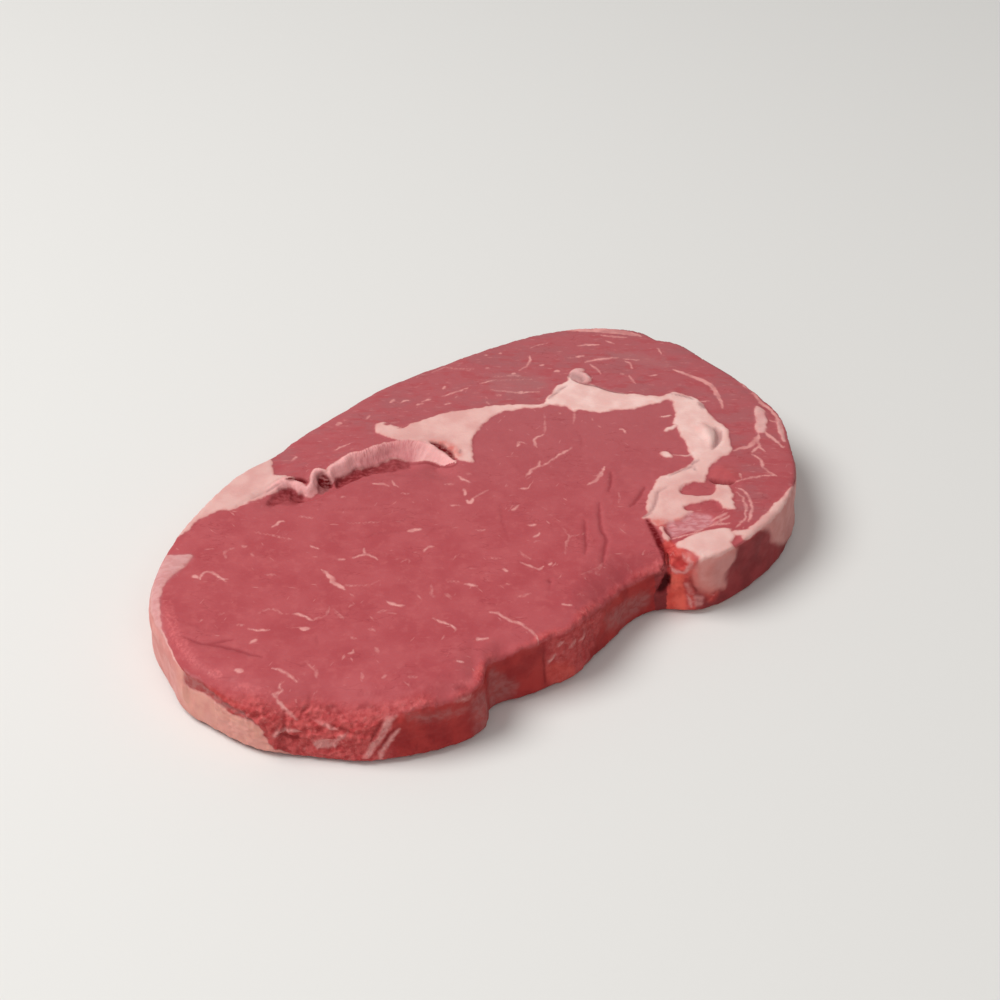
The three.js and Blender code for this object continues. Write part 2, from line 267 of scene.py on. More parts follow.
# The marbling: short threads and blots of fat that the knife has cut through.
FLECKS = [
    (0.7, [(-77.5, 21.4), (-77, 21)]),
    (0.35, [(-76.9, 19.7), (-75, 21), (-73.7, 21), (-72.9, 19.2), (-72.6, 16.8), (-72.3, 14.7)]),
    (0.45, [(-49.7, 25.7), (-47.2, 26.1), (-46.2, 25.5)]),
    (0.35, [(-41, 1.4), (-37.5, 0.3), (-36.3, -3.4)]), (0.3, [(-37.5, 0.3), (-36.4, 2.8)]),
    (0.35, [(-44.3, 3.1), (-43.1, 2.3)]),
    (0.6, [(-50, 2.6), (-50.2, 0.1), (-50.2, -2.2), (-50.8, -3.4), (-50.4, -6), (-50.2, -7.5)]),
    (0.4, [(-44.6, -18.3), (-44.2, -20.4), (-42.2, -22.6)]),
    (0.4, [(-66.4, -6.9), (-64.6, -8.8), (-63.6, -12)]), (0.65, [(-67.8, -13), (-66.3, -13.9)]),
    (0.3, [(-78.1, -4.4), (-76.7, -6.3), (-74.4, -8.4)]), (0.45, [(-80.9, -9.3), (-79, -9.2)]),
    (0.6, [(-89.1, -15.1), (-88.1, -16.2)]), (0.35, [(-81.8, -20.6), (-80.3, -23.6), (-79.4, -27.4)]),
    (0.3, [(-81.9, -25.4), (-83.4, -25.8), (-83.7, -27), (-85.9, -26.3), (-85.5, -27.4), (-85.7, -28.5),
           (-85.1, -29.9), (-84.3, -31.7), (-83.9, -33.1)]),
    (0.35, [(-17.6, 23.6), (-15.5, 21.2), (-14.9, 19.7)]),
    (0.3, [(-12.4, 21.3), (-13.1, 19.7), (-13.3, 17.9)]), (0.7, [(-22.4, 0.7), (-20, -0.4)]),
    (0.35, [(-64, -28.2), (-63.2, -28.5), (-62.4, -27.8)]),
    (0.3, [(-46.6, 12.5), (-46.3, 11.4), (-45.6, 9.9)]), (0.3, [(2.9, 11.2), (2.9, 8.7), (3.5, 6.6)]),
    (0.4, [(0.5, 5.4), (-1.2, 3)]), (0.5, [(-2.1, 1), (-2.2, -0.3), (-0.5, 0.5)]),
    (0.3, [(-7, 2.2), (-4.9, 0.4)]), (0.35, [(-24.9, -8.5), (-22.8, -7.8), (-21.4, -8.9)]),
    (0.4, [(4.6, -10.5), (6, -10.1), (7.4, -9.6)]),
    (0.4, [(16.8, -1.3), (20.2, -0.2), (23, 0.2), (24.9, 1.6)]),
    (0.3, [(22.4, -0.4), (25.9, -0.5), (31, 0.2), (36, 0.5)]), (0.4, [(12.1, -4.4), (14.3, -5.5)]),
    (0.35, [(3.6, -18.3), (5.1, -19.3)]), (0.35, [(1.2, -23.1), (2.5, -23.1), (3.6, -22.6)]),
    (0.5, [(27.5, -15.6), (30.4, -15.4), (33.6, -14.2), (37, -12.4)]),
    (0.3, [(-8.3, -28.8), (-7.2, -31.7), (-6.3, -34), (-4.7, -33.7)]),
    (0.5, [(-13.3, -28.2), (-13.2, -29)]), (0.45, [(-3, -34.4), (-2.3, -34.4)]),
    (0.4, [(-25, -25.8), (-22.9, -28.3)]), (0.35, [(-10.7, -48.3), (-9.5, -50.2)]),
    (0.38, [(-27.1, -38.7), (-25.8, -40.8), (-25.2, -44.6), (-23.8, -48.1), (-23.5, -51.8), (-24, -54)]),
    (0.4, [(-36.3, -44.6), (-33.9, -46.1)]), (0.35, [(-45.1, -47.6), (-43.7, -48.8)]),
    (0.3, [(-39.9, -31.4), (-38.8, -34.2), (-38, -35.9), (-38.1, -38.2), (-38.9, -38.9)]),
    (0.45, [(34, 10.4), (30.8, 10.5), (29.5, 9.2), (28.5, 7.1)]),
    (0.35, [(25.9, 12.4), (26.8, 11.5), (27.3, 9.9)]), (0.7, [(-8.5, 52), (-7.7, 52)]),
    (0.4, [(-0.8, 48.8), (0.8, 49.5)]), (0.5, [(10, 51.2), (11.4, 51.7)]),
    (0.35, [(17.3, 45.6), (20.1, 45.2)]), (0.4, [(15, 45.2), (16.9, 44.7)]),
    (0.3, [(26, 47), (27.2, 47.3)]), (0.3, [(23.2, 44), (28, 43), (32.2, 42.2)]),
    (0.3, [(-28.6, 46.2), (-26.8, 47)]), (0.3, [(-16.7, 42), (-14, 42.2), (-11.8, 41.8)]),
    (0.3, [(36.3, 37.3), (40.2, 32.8), (42.5, 30.2), (47.2, 27.3)]), (0.7, [(42, 30.6), (42.6, 30.3)]),
    (0.5, [(43, 46.7), (43.4, 46.5)]), (0.4, [(51, 50.7), (51.5, 50.4)]),
    (0.5, [(46.6, 39.4), (47.2, 39.1)]), (0.35, [(57.4, 43.7), (54.1, 40.6), (49.4, 39.4)]),
    (0.5, [(56.5, 37.6), (57, 37.4)]), (0.5, [(57.5, 32.3), (58.6, 31.8)]), (0.4, [(67.4, 34), (69.5, 33)]),
    (0.3, [(80.4, 34.8), (81.3, 32)]), (0.4, [(77.2, 22.7), (77.2, 20.5), (76.1, 18.5)]),
    (0.25, [(71.3, 12), (73, 16.5)]), (0.25, [(36, 42), (41, 40.5)]), (0.25, [(60, 47), (66, 45.5)]),
    (0.45, [(67.7, 30.2), (71.2, 28.9), (77, 25.5)]), (0.35, [(67.9, 28.5), (68.1, 25.5), (67, 22.4)]),
    (0.4, [(71.7, 38.5), (74.3, 36.8), (77.4, 34.1)]), (0.3, [(77.2, 12.5), (79.5, 11.3)]),
    (0.35, [(89.7, 21.7), (88.2, 18.6)]), (0.25, [(77.6, 23.9), (80.8, 20.7)]),
    (1.5, [(75.5, 47.8), (80.5, 43.8), (84.5, 39.2), (88.3, 34.4), (90.6, 30.2)]),
    (0.7, [(85.5, 10.4), (86.8, 5.3), (88.1, 0.2), (87.6, -4.5), (84.7, -10.1), (82.5, -13.5)]),
    (0.55, [(95.8, -6), (95.6, -12.6), (93.3, -18), (92.7, -23.4), (90.8, -28.2), (87.8, -32.7)]),
    (0.55, [(83, -30), (82.6, -33.3), (82.2, -36.1), (82, -37.9), (82.6, -38)]),
    (0.7, [(91.4, -26.6), (88.3, -31.2), (85.1, -35.4)]),
    (0.7, [(81.3, -29.3), (79.3, -30.6), (77, -31.2), (74.2, -31.6), (72.3, -31.1), (70, -30.5)]),
    (0.5, [(73.1, -34.3), (75.9, -33.6), (77.5, -34)]),
    (0.5, [(80.8, -29.6), (78.4, -31.4), (76.8, -34), (76.5, -36.6)]),
    (0.35, [(72.5, -34.9), (72.5, -37.5), (71.9, -39.4), (70.3, -41.8), (70.6, -46.3)]),
    (0.35, [(58.5, -41.2), (63, -42.1), (66.9, -43.8), (70.7, -45.8)]),
    (0.3, [(61.9, -41.2), (63.1, -39.2)]),
    (0.45, [(57.9, -43.1), (58.3, -46), (56.8, -49.5), (53.9, -53.1), (50, -55.7)]),
    (0.35, [(56.6, -44.4), (55.8, -47.6), (53.2, -51.4), (49.7, -54.4), (45.2, -55.3)]),
    (0.45, [(42.1, -48.9), (45, -49.3), (48.1, -49.5)]),
    (0.35, [(42.2, -50.6), (45.4, -50.7), (47.8, -50.7)]),
    (0.4, [(30.3, -46.4), (35.8, -47.1), (36.4, -49.4), (41.1, -50.4), (45.5, -52.9)]),
    (0.35, [(29, -47.4), (32.8, -48.9), (36.8, -50.6)]), (0.3, [(88.5, -26.5), (90, -29.5)]),
    (0.25, [(79, -6), (82, -8.5)]), (0.35, [(46.9, 52.7), (47.3, 51.9)]),
    (0.3, [(21.8, 40.4), (23.1, 39.6)]), (0.3, [(11.6, 48.9), (13.2, 49.1), (14.6, 48.3)]),
    (0.3, [(24.2, 10.7), (25.7, 11.9)]), (0.4, [(52.2, -1.6), (52.8, -2.5), (52.4, -4.2)]),
    (0.4, [(81.1, 38.1), (83.9, 34.9), (86.7, 32.3)]),
]
FAINT_FLECKS = [
    (0.35, [(-62.8, 24.2), (-63.8, 25.2), (-65.3, 25), (-66.2, 24), (-67.1, 22.3)]),
    (0.5, [(-60.8, 24.2), (-60.3, 23.3)]), (0.4, [(-60.7, 19.8), (-61.1, 18.3)]),
    (0.3, [(-63.1, 9.9), (-62.3, 9.9), (-60.8, 8.6)]), (0.3, [(-41.8, 24.8), (-38.9, 21.6)]),
    (0.3, [(-54.8, 26.9), (-53.3, 24.7), (-51.8, 22.7), (-50.6, 20.4), (-48.9, 18)]),
    (0.25, [(-49.3, -6), (-46.7, -8.6), (-43.6, -10.3), (-41.4, -10.4)]),
    (0.35, [(-49.3, -20.2), (-46.6, -21.1)]),
    (0.25, [(-63.5, -12.3), (-62.1, -12.2), (-60.2, -12.9), (-57.2, -10.7)]),
    (0.3, [(-73.1, -1.1), (-71, -1.1), (-69.1, -2.2), (-68.2, -4.7), (-66.9, -6.1)]),
    (0.4, [(-79.7, -1.4), (-77.9, -2.7)]), (0.35, [(-57.1, -12.1), (-57.5, -14.9), (-57.4, -17)]),
    (0.3, [(-73.8, -23), (-74.1, -25.2), (-74, -27.9), (-75, -29.6)]),
    (0.3, [(-57.7, -30.5), (-58.4, -32.9)]), (0.35, [(-54.7, -24), (-53.9, -25.5)]),
    (0.45, [(-62.7, -40.4), (-62.1, -40.4)]), (0.3, [(-65.7, -35.8), (-67, -37.5)]),
    (0.35, [(-57.8, -44.8), (-56.4, -45.8)]), (0.35, [(-80.6, 4.7), (-79.8, 4.5)]),
    (0.3, [(-60, -23.5), (-59.4, -24.9)]), (0.35, [(-14, 15), (-12.5, 13.3)]),
    (0.4, [(-28, 24.4), (-27.3, 23.8)]), (0.25, [(-34, 14.8), (-30, 11.5), (-25.4, 8.2)]),
    (0.3, [(-32, -8), (-30.2, -8.6), (-30.7, -10)]), (0.3, [(4.9, 10.4), (6.1, 9.3)]),
    (0.3, [(-0.2, 0.5), (2.5, 0.9), (5.6, 0.6)]), (0.3, [(-2.7, 10.9), (-0.4, 8.8)]),
    (0.25, [(-0.6, -23.9), (1.4, -25.1)]),
    (0.25, [(10.2, -25), (9.4, -27), (8.9, -29.1), (6, -30.8), (3.4, -33.8)]),
    (0.22, [(8.9, -29.1), (11.3, -30.1)]), (0.25, [(8.9, -42.1), (7.1, -42.9), (4.5, -43), (0.8, -43)]),
    (0.3, [(-5.5, -25.1), (-5.5, -28.1), (-4.8, -29.6)]), (0.35, [(-16.7, -33.2), (-16.4, -33.7)]),
    (0.25, [(-27.8, -22), (-25.2, -24.6)]), (0.35, [(-31.1, -25.7), (-31, -28.7)]),
    (0.3, [(-17.9, -38.9), (-16.3, -39.3), (-14.2, -40.1)]), (0.3, [(-5.1, -48.1), (-4.1, -48.8)]),
    (0.28, [(14.8, -44.5), (14.7, -45.8), (14.6, -47.8)]), (0.35, [(4.7, -44.5), (5.3, -44.8)]),
    (0.2, [(-31.7, -20.3), (-34.9, -25)]), (0.25, [(-13.2, -21.9), (-10.6, -24.7)]),
    (0.25, [(32, -23.6), (28.7, -27.2)]), (0.35, [(-8.8, -10.4), (-6.3, -12.9)]),
    (0.3, [(29.1, 55.8), (33.7, 55.7), (35.2, 53.2), (37.5, 50.8), (39.9, 48.8)]),
    (0.25, [(41.1, 42.3), (44.9, 39.7), (49.1, 36.2)]), (0.25, [(40.9, 39.9), (44.9, 36.9), (50.1, 33.1)]),
    (0.35, [(33.1, 35.5), (32.8, 34.6)]), (0.35, [(31.8, 33.2), (31.5, 32.1)]),
    (0.3, [(35.6, 34.3), (36.8, 32.9)]), (0.4, [(71.5, 18.7), (72.2, 17.5)]),
    (0.25, [(40.6, 17.7), (37.6, 14), (34.4, 10.6)]), (0.35, [(43.9, 15.7), (44.3, 14.8)]),
    (0.25, [(48.4, 13.3), (46, 10.8), (43.6, 8.8)]), (0.3, [(49.9, 7.6), (49.4, 6.4)]),
    (0.3, [(48.5, 3.6), (48.9, 2.4)]), (0.25, [(64.8, 36), (67, 33.6)]),
]
# Where the knife has dragged the flesh into narrow wrinkles, deeper and shallower ones.
WRINKLES = [
    (0.35, [(16.6, -26.5), (12.8, -30.9), (10.1, -34.1), (7.2, -37)]),
    (0.4, [(36.7, -15.1), (33.4, -18.7), (29.9, -21.3)]),
    (0.5, [(24.8, -23.5), (19.4, -29.4), (16.9, -33.3), (15.4, -36.4), (12, -39.4), (8.9, -42.1)]),
    (0.5, [(38.9, -26.4), (33.6, -29.1), (29.7, -30.2)]), (0.45, [(-7.3, -39.1), (-7.2, -39.6)]),
    (0.4, [(-92.4, 3.9), (-91.2, 0.1), (-89.4, -2.6), (-86.2, -4.1), (-83.5, -5.4)]),
    (0.45, [(-91.4, -0.1), (-89.4, -2.6), (-86.9, -5.8), (-84.9, -9.1), (-83.2, -12.8), (-81.5, -15.5)]),
]
FAINT_WRINKLES = [
    (0.3, [(-33, 20.9), (-27.9, 17.5), (-23.8, 14.2)]),
    (0.35, [(-32.9, 6.1), (-29.7, 5.8), (-26.6, 3.6), (-22.6, 1.2)]),
    (0.3, [(-90.9, 11), (-88.9, 7.7), (-87.3, 2.9), (-85.6, 0.7), (-82.7, -0.4)]),
    (0.3, [(-92.3, -14.6), (-88.5, -18.2)]), (0.4, [(-56.8, -10.1), (-59.5, -13.1)]),
    (0.3, [(-66.1, -17), (-68.5, -21)]), (0.35, [(4.1, -5.9), (-0.9, -12.3), (-3.3, -17.5)]),
    (0.3, [(-5.4, -37.1), (-7.3, -39.5), (-12.2, -44.1)]), (0.25, [(17.3, 1.6), (18.8, 5)]),
    (0.25, [(-21.7, -4), (-16.6, -3.2), (-11.4, -5.6)]),
    (0.3, [(-69.8, -39.7), (-67.3, -42.5), (-64.8, -44.5)]),
    (0.35, [(-61.9, -46), (-59.7, -47.6), (-57.7, -48), (-54.4, -48.4)]),
    (0.3, [(-60.6, -44.4), (-56.5, -48.1)]), (0.3, [(-51.5, -48.7), (-48.4, -51.1)]),
    (0.3, [(-65.4, -46.7), (-62.8, -47.9), (-59.8, -49.3)]), (0.3, [(-48.6, -45.5), (-44.7, -46.6)]),
    (0.3, [(42, 5.3), (40.8, 2.2), (38.1, -1.1)]),
]
# The open seam, along the pleated upper edge of its fat, from the left wedge to the tongue at the centre fat.
# Below it the eye muscle has sunk away. The rows give the drop and the slope's width at each distance along.
SEAM_CREST = [(-50, 39.5), (-44, 40), (-38.5, 40.2), (-35, 39.2), (-33.7, 37.6), (-33, 35.4), (-32.2, 34.3),
              (-31, 34.8), (-29.1, 36.3), (-27.4, 37.4), (-26, 36.8), (-25.2, 35.4), (-24.7, 34.8),
              (-23.6, 35.6), (-22, 36), (-18, 36.4), (-15, 36.9), (-12, 35.8), (-8, 35.2), (-4, 34.4),
              (-1, 33), (2.2, 30.5), (4.4, 27.5), (5.6, 24.3), (6.4, 21.2), (6.7, 18.6), (6.2, 17),
              (5.4, 16.4)]
SEAM_ALONG = [0, 10, 16, 21, 27, 33, 40, 48, 53, 57, 60.5, 65.3, 67, 70, 72.4, 74.1, 75.3]
SEAM_DROP = [0.1, 0.4, 1.0, 1.5, 1.6, 1.6, 1.7, 1.8, 1.8, 1.6, 1.4, 1.1, 1.0, 0.9, 0.7, 0.6, 0.5]
SEAM_SLOPE = [2.0, 2.2, 2.2, 2.0, 1.8, 2.1, 3.2, 3.9, 4.0, 5.2, 6.0, 4.5, 3.4, 2.7, 2.3, 1.3, 0.3]
SEAM_CREST_HEIGHT = 0.6
SEAM_FAT_BEHIND = 0.5
SEAM_RECOVERY = 5.0
SEAM_SLIT = [(5.8, 27.6), (7.2, 26.6), (8.2, 25), (8.7, 23), (8.7, 21), (8.1, 19.2), (6.9, 17.6),
             (6.9, 19.4), (7, 21.3), (6.6, 23.4), (6.1, 25.5)]
SEAM_BLUSH = [(6.5, 28), (9.3, 25.6), (10.7, 22.6), (10, 19.5), (9.1, 17.2), (8, 18.5), (8, 22.6),
              (7.3, 25.3)]
SEAM_CLEFT = [(-24, 33.4), (-22.3, 34.6), (-20, 35), (-17.6, 35), (-15.4, 34.4), (-13, 33.4), (-9.2, 32.6),
              (-5.2, 31.6), (-2.4, 28), (-3.3, 24.8), (-6.8, 26.2), (-9, 26.8), (-10.5, 28), (-14, 29.7),
              (-17.2, 29.7), (-19.8, 30.2), (-22.1, 30), (-24, 30.8)]
SEAM_NOTCH = [(-26.6, 35.9), (-25.7, 35.3), (-25.1, 34.1), (-25.2, 32.9), (-26.4, 33.5), (-27.5, 34.5),
              (-27.5, 35.5)]
SEAM_TAN = [(-28.3, 34.6), (-26.9, 34.3), (-25.8, 33), (-26.6, 32.2), (-28.8, 31.3), (-29.8, 32.3),
            (-29.5, 33.4)]
SEAM_PIT = [(-36.9, 37.9), (-35.8, 37.2), (-35.1, 35.4), (-34.2, 34.2), (-34.5, 33), (-38.1, 30),
            (-40, 31.1), (-42.1, 34), (-44.7, 34.4), (-44.7, 36), (-41.8, 37.4), (-38.8, 38)]
BACK_CREASE = [(-35.7, 39.3), (-33.7, 38), (-32.2, 36.9), (-31.2, 35.7)]
TONGUE_SHADOW = [(-2.6, 26.2), (-1, 24.4), (1, 23.2), (3, 20.8), (3.8, 18.2), (4.8, 16), (6.3, 15.9)]
# The gap between the eye muscle and the lobe, along the eye's lip, and the lobe's own parts.
GAP_LIP = [(29.3, -37.6), (28.1, -41), (26.2, -44.9), (24.5, -48.4), (23.8, -50.5), (23, -52.6), (22, -55)]
LOBE_STAIN = [(30.5, -38.2), (33.1, -40.6), (33.2, -42.7), (31.3, -42.9), (29.1, -41.4), (29.2, -40)]
LOBE_STREAK = [(34.9, -42.1), (36.7, -42.7), (38.4, -43.6), (37, -44.2), (34.8, -43.4)]
LOBE_DARK_SPOT = [(30.1, -43.6), (30.6, -44), (30.6, -45.4), (29.6, -46.4), (29, -46), (29.8, -44.8)]
LOBE_DEEP_RED = [(25.7, -47.2), (26.6, -47.8), (27.2, -48.8), (26.6, -50.4), (25.6, -50.2), (24.7, -48.9)]
LOBE_FILM = [(33.3, -41.9), (36.6, -43.3), (40.4, -42.8), (43.7, -46.5), (42.6, -49.7), (38.4, -49.8),
             (34.3, -48.3), (29.7, -47), (30.6, -44)]
LOBE_BULGE = [(56.8, -33.6), (59.5, -32.7), (62.4, -33.3), (63.8, -35.9), (63.3, -39), (61.3, -40.8),
              (59.2, -40.2), (57.2, -38.3), (56, -36)]
BULGE_SHADOW = [(55.5, -36), (56.3, -37.9), (57.4, -39.6), (59.2, -40.9)]
BAR_BUMP = [(68.9, -15.9), (71.5, -15.2), (72.6, -17), (71.8, -20.2), (68.8, -23.4), (65.6, -25.5),
            (66.4, -23.3), (67.3, -21.2), (67.3, -19.3)]
BAR_PIT = [(73.1, -18.8), (74.2, -21), (72.3, -23.5), (69.8, -25.2), (66.4, -26.3), (65.3, -26.1),
           (68.6, -24), (71.8, -21)]
BAR_EDGE = [(58.9, 25), (58.8, 24), (59.9, 21.4), (61.8, 18.4), (62.7, 15.3), (63.9, 12.6), (66, 9.6)]
GREY_AREAS = [
    BAR_PIT, [(78.6, -7), (79.2, -8.5), (77.9, -10.8), (77.3, -9.5)],
    [(10.3, 20), (10.9, 19.5), (10, 18.3), (9.3, 18.7)],
]
GREY_LINES = [
    (0.5, BAR_EDGE), (0.3, [(58.4, 27.2), (59.7, 28.2), (60.4, 27.9)]),
    (0.3, [(60.1, 27.2), (61.6, 25.7), (60.8, 23.2), (59.4, 22.8)]),
    (0.35, [(46.5, 22.6), (50.1, 23.4), (55, 24.3)]),
    (0.35, [(47.4, -27.6), (50.7, -27.8), (55, -28.6), (54.5, -30.6)]),
    (0.35, [(55.2, -28.3), (57.3, -27.4), (58.8, -28.2)]),
    (0.4, [(29.5, -36.1), (33, -35.4), (37, -33), (40, -30.6), (43.2, -30.6)]),
    (0.4, [(76, 0.8), (78, -2), (78.9, -5)]), (0.35, [(-47, 39.5), (-42, 39.3), (-38, 39)]),
]
GREY_LEAN = [
    [(42.1, 42.8), (48.6, 37.3), (52.4, 31.8), (48.5, 27.3), (40.4, 31.5), (36.3, 37.3)],
    [(77.3, 29.5), (82, 25.7), (86.6, 15.9), (84.3, 12), (79.5, 19.3), (76.1, 26.8)],
]
RAW_CORNER = [(-96.5, -14), (-94.1, -17.7), (-92, -20.9), (-90.2, -22.9), (-88.2, -25.5), (-86.2, -28.6),
              (-82.5, -31), (-79.4, -33), (-76.5, -36.2), (-74.1, -39.8), (-69, -44.5), (-64, -48),
              (-58, -51), (-55, -58), (-80, -54), (-98, -34)]
RAW_DARK_STROKES = [
    (0.6, [(-85.8, -30.2), (-86.6, -31.6), (-88.2, -30.6)]),
    (0.5, [(-82.2, -33), (-80.5, -33), (-78.8, -31.9)]),
    (0.5, [(-71.8, -42.2), (-70, -43.4), (-68.3, -46)]),
    (0.5, [(-78.3, -35.6), (-76.2, -37.6), (-75, -39.8)]),
    (0.5, [(-50.3, -54), (-48.6, -54.8), (-47.6, -55.6)]),
]
# Painted highlights: fine pale frosting along the rims of the cut face and on the eye's lip by the gap.
RIM_HIGHLIGHT_STROKES = [
    (0.7, [(-88.9, 18.3), (-90.5, 14.2), (-92.2, 9.9), (-93.6, 6.2), (-94.4, 2.6), (-94.8, -1.1),
           (-95, -4.5), (-94.6, -7.7), (-93.7, -9.8), (-93, -12)]),
    (0.4, [(-87.6, 17.1), (-89.6, 12.7), (-91.4, 8.2), (-92.7, 4.3), (-93.5, -0.3), (-93.6, -4.3)]),
    (1.0, [(-93.6, -11.4), (-92.4, -13)]),
    (0.5, [(-67.6, -47.1), (-65.6, -47.7), (-63.7, -49), (-61, -50.7), (-58.5, -52.5)]),
    (0.6, [(-49.4, -53.1), (-47.3, -53.6), (-45, -54)]), (0.9, [(20.6, -49.6), (22.9, -51)]),
    (0.7, [(-92, -17.5), (-90, -20.5), (-88, -23.5), (-85.5, -26)]),
]

# The sides that the photograph shows, in distance along and height: the near one by x, the left one by y.
NEAR_FAT_AREAS = [
    [(52.5, 18.3), (55.1, 14.8), (56.6, 11.4), (59.1, 8), (63.3, 5.2), (69.2, 2.4), (78, -2), (90, 6),
     (84, 16), (70, 18.5), (60, 19)],
]
NEAR_PALE_AREAS = [
    [(-68.2, 13.6), (-66.9, 14.2), (-65.2, 14.1), (-66.5, 13.1), (-67.4, 11.6), (-68.3, 9.6), (-69.5, 7.3),
     (-70.6, 5.7), (-71.5, 4.1), (-72.5, 2.8), (-73.9, 2.3), (-72.6, 4.8), (-71.4, 7.3), (-70.2, 9),
     (-69.3, 11.3)],
    [(-82.1, 6.1), (-80.6, 7.4), (-79.8, 7.1), (-78.1, 7.1), (-77.7, 5.6), (-79.3, 4.3), (-80.8, 4.3),
     (-81.6, 4.2)],
]
NEAR_PALE_STROKES = [
    (0.6, [(-65.6, 10.4), (-67.1, 8.4), (-68, 6.6), (-69.1, 5.1), (-70.2, 3.5), (-70.5, 1.6)]),
    (0.5, [(-21.2, 9.4), (-20.4, 10.6), (-19.4, 11.4)]), (0.45, [(-18.4, 13.8), (-17.2, 14.2)]),
    (0.45, [(-14.8, 12.2), (-13.4, 12.8)]), (0.5, [(-11.4, 12), (-9.8, 12.4)]),
    (0.4, [(-77.9, 7.1), (-76.8, 8.4), (-76, 9.1)]),
    (0.5, [(-88.8, 6.9), (-87.8, 8.7), (-86.2, 9.1), (-84, 9)]),
    (0.5, [(-80.7, 11.7), (-79.6, 11.4), (-78.4, 10.5), (-77.4, 10)]),
    (0.6, [(-52.2, 15.3), (-50.1, 14.8), (-47.5, 14.5)]),
]
NEAR_FILM_AREAS = [
    [(-47.1, 13.4), (-42.3, 11.8), (-40.2, 3), (-45.4, 1.2), (-47.6, 3.5)],
    [(-38.3, 13.3), (-32.9, 9.1), (-30.2, 5.4), (-32.3, 2.7), (-38.5, 2.3)],
    [(0.6, 10.4), (6.8, 9.8), (13.9, 9), (18.5, 7.8), (17.2, 3.7), (10.9, 2.7), (2.3, 5.3)],
    [(-63.3, 14.6), (-59, 13.4), (-54, 12.9), (-49.2, 12.2), (-49.6, 10.9), (-55.3, 11.1), (-59.8, 11.6),
     (-62.7, 12.5)],
]
NEAR_ORANGE = [(-21.7, 7.5), (-18.6, 8.4), (-15, 6.4), (-14.7, 2.1), (-20.6, 2)]
NEAR_DARK_STROKES = [
    (0.45, [(-22.9, 16.5), (-22.6, 9.5), (-22.6, 3)]), (0.7, [(-87.8, 7.5), (-85.7, 6.7), (-84.5, 7)]),
    (0.4, [(-79.6, 12.2), (-78, 11.2), (-77.2, 10.4)]),
    (0.4, [(-68.6, 12.8), (-69.7, 11.4), (-70.5, 10), (-72, 7.2)]),
    (0.3, [(-67.2, 10), (-69, 6.8), (-70.6, 4.2)]), (0.4, [(-76.9, 10.5), (-76.2, 10.2), (-75.4, 9.7)]),
]
# The lobe's front, turned between the two, by distance along it and height.
LOBE_WAY = (0.69, -0.72)
LOBE_FAT_AREAS = [
    [(60, 22), (60.4, 18.1), (60.9, 15.3), (61.1, 11.8), (61.9, 9), (64.6, 7), (66.7, 6.7), (69, 6.3),
     (69.4, 5.9), (69, 10.6), (69.6, 12.2), (71, 14.1), (71.5, 17), (72, 22)],
]
LOBE_PALE_AREAS = [
    [(58.5, 10.5), (59.3, 10.7), (60, 9.3), (60.5, 7.5), (61.1, 6.6), (60, 6.7), (59.2, 8.4)],
    [(61.2, 5.9), (61.9, 6.2), (63.6, 5.6), (63.9, 4.3), (63.3, 3.1), (61.6, 3.2), (61, 4.6)],
]
LOBE_PALE_STROKES = [
    (0.6, [(57.5, 18.2), (58.4, 18.1), (59.2, 17.9), (59.6, 17.1), (59.4, 16), (58.6, 14.8), (57.5, 14.1)]),
    (0.45, [(54.6, 14.4), (56, 13.9), (57.5, 14.1)]), (0.4, [(59.2, 6.5), (60, 4.9), (60.5, 2.6)]),
]
LOBE_ORANGE = [(54.2, 12.8), (56.4, 13.1), (58.1, 13.1), (58.2, 10.9), (58.3, 8.2), (58.9, 5.6),
               (59.3, 2.4), (59.4, -2), (53, -2), (53.5, 2.3), (54, 5.1), (54.7, 7.7), (54.7, 10.3)]
LOBE_POCKET = [(55.8, 17.3), (57, 18.1), (58, 17.8), (58.5, 17.1), (58, 15.9), (57.1, 15.4), (56.1, 15.7),
               (55.6, 16.4)]
LOBE_FOLD = [(59.7, 12.7), (60.5, 9.7), (61.7, 7.6)]
BLOCK_STAIN = [(60.7, 18.2), (61.1, 15.4), (61.2, 12), (62, 9.6), (64.6, 7), (66.7, 6.4), (68.6, 6.6)]
BLOCK_RIM_STAIN = [(27.2, -52.6), (27.9, -54.4), (28.6, -56.2), (28.6, -57.8)]
BLOCK_LOW_RED = [(64, 6.6), (65.5, 5.8), (67.5, 5.4), (67, 3.5), (65.3, 3.4)]
BLOCK_SHADE = [(67.9, 17), (70.4, 17), (71, 14.2), (69.6, 12.2), (69, 10.6), (69, 6.3), (66.5, 8),
               (65, 12.8), (66, 16.7)]
GAP_HOLE = [(53, 12.9), (54.2, 12.5), (54.3, 10.6), (53.8, 8.6), (52.9, 7.1), (51.7, 7), (51, 8),
            (51.6, 9.1), (52.5, 11.6)]
LEFT_FAT_AREA = [(70, -3), (70, 17.6), (40, 18.3), (23, 18.9), (17.8, 18.8), (12, 18.6), (6.2, 18.3),
                 (0.9, 17.8), (-4, 17), (-5, 15.4), (-4.9, 12.2), (-7.1, 12.1), (-10.5, 12.9),
                 (-14.8, 12.6), (-18, 11.5), (-21.1, 10.6), (-24, 10.6), (-26.4, 9.9), (-27.8, 8.5),
                 (-27.6, 6.5), (-28.6, 4.2), (-28.8, -3)]
LEFT_MAUVE = [(-4.4, 16.6), (-6.7, 17), (-10, 15.9), (-11, 13.9), (-8.7, 12.4), (-4.6, 12.2)]
LEFT_MAUVE_LINE = [(4.2, 18.4), (0.8, 18), (-4.2, 17.4), (-6.1, 16.2), (-9.7, 14.4), (-14.6, 13.4),
                   (-18.4, 12.3), (-22.2, 11.8), (-25.5, 10.8)]
LEFT_RIDGE = [(-4.6, 11.6), (-4.3, 9), (-4.2, 6)]
LEFT_FOLD = [(-5.2, 11), (-6.2, 8.7), (-6.6, 6.2)]
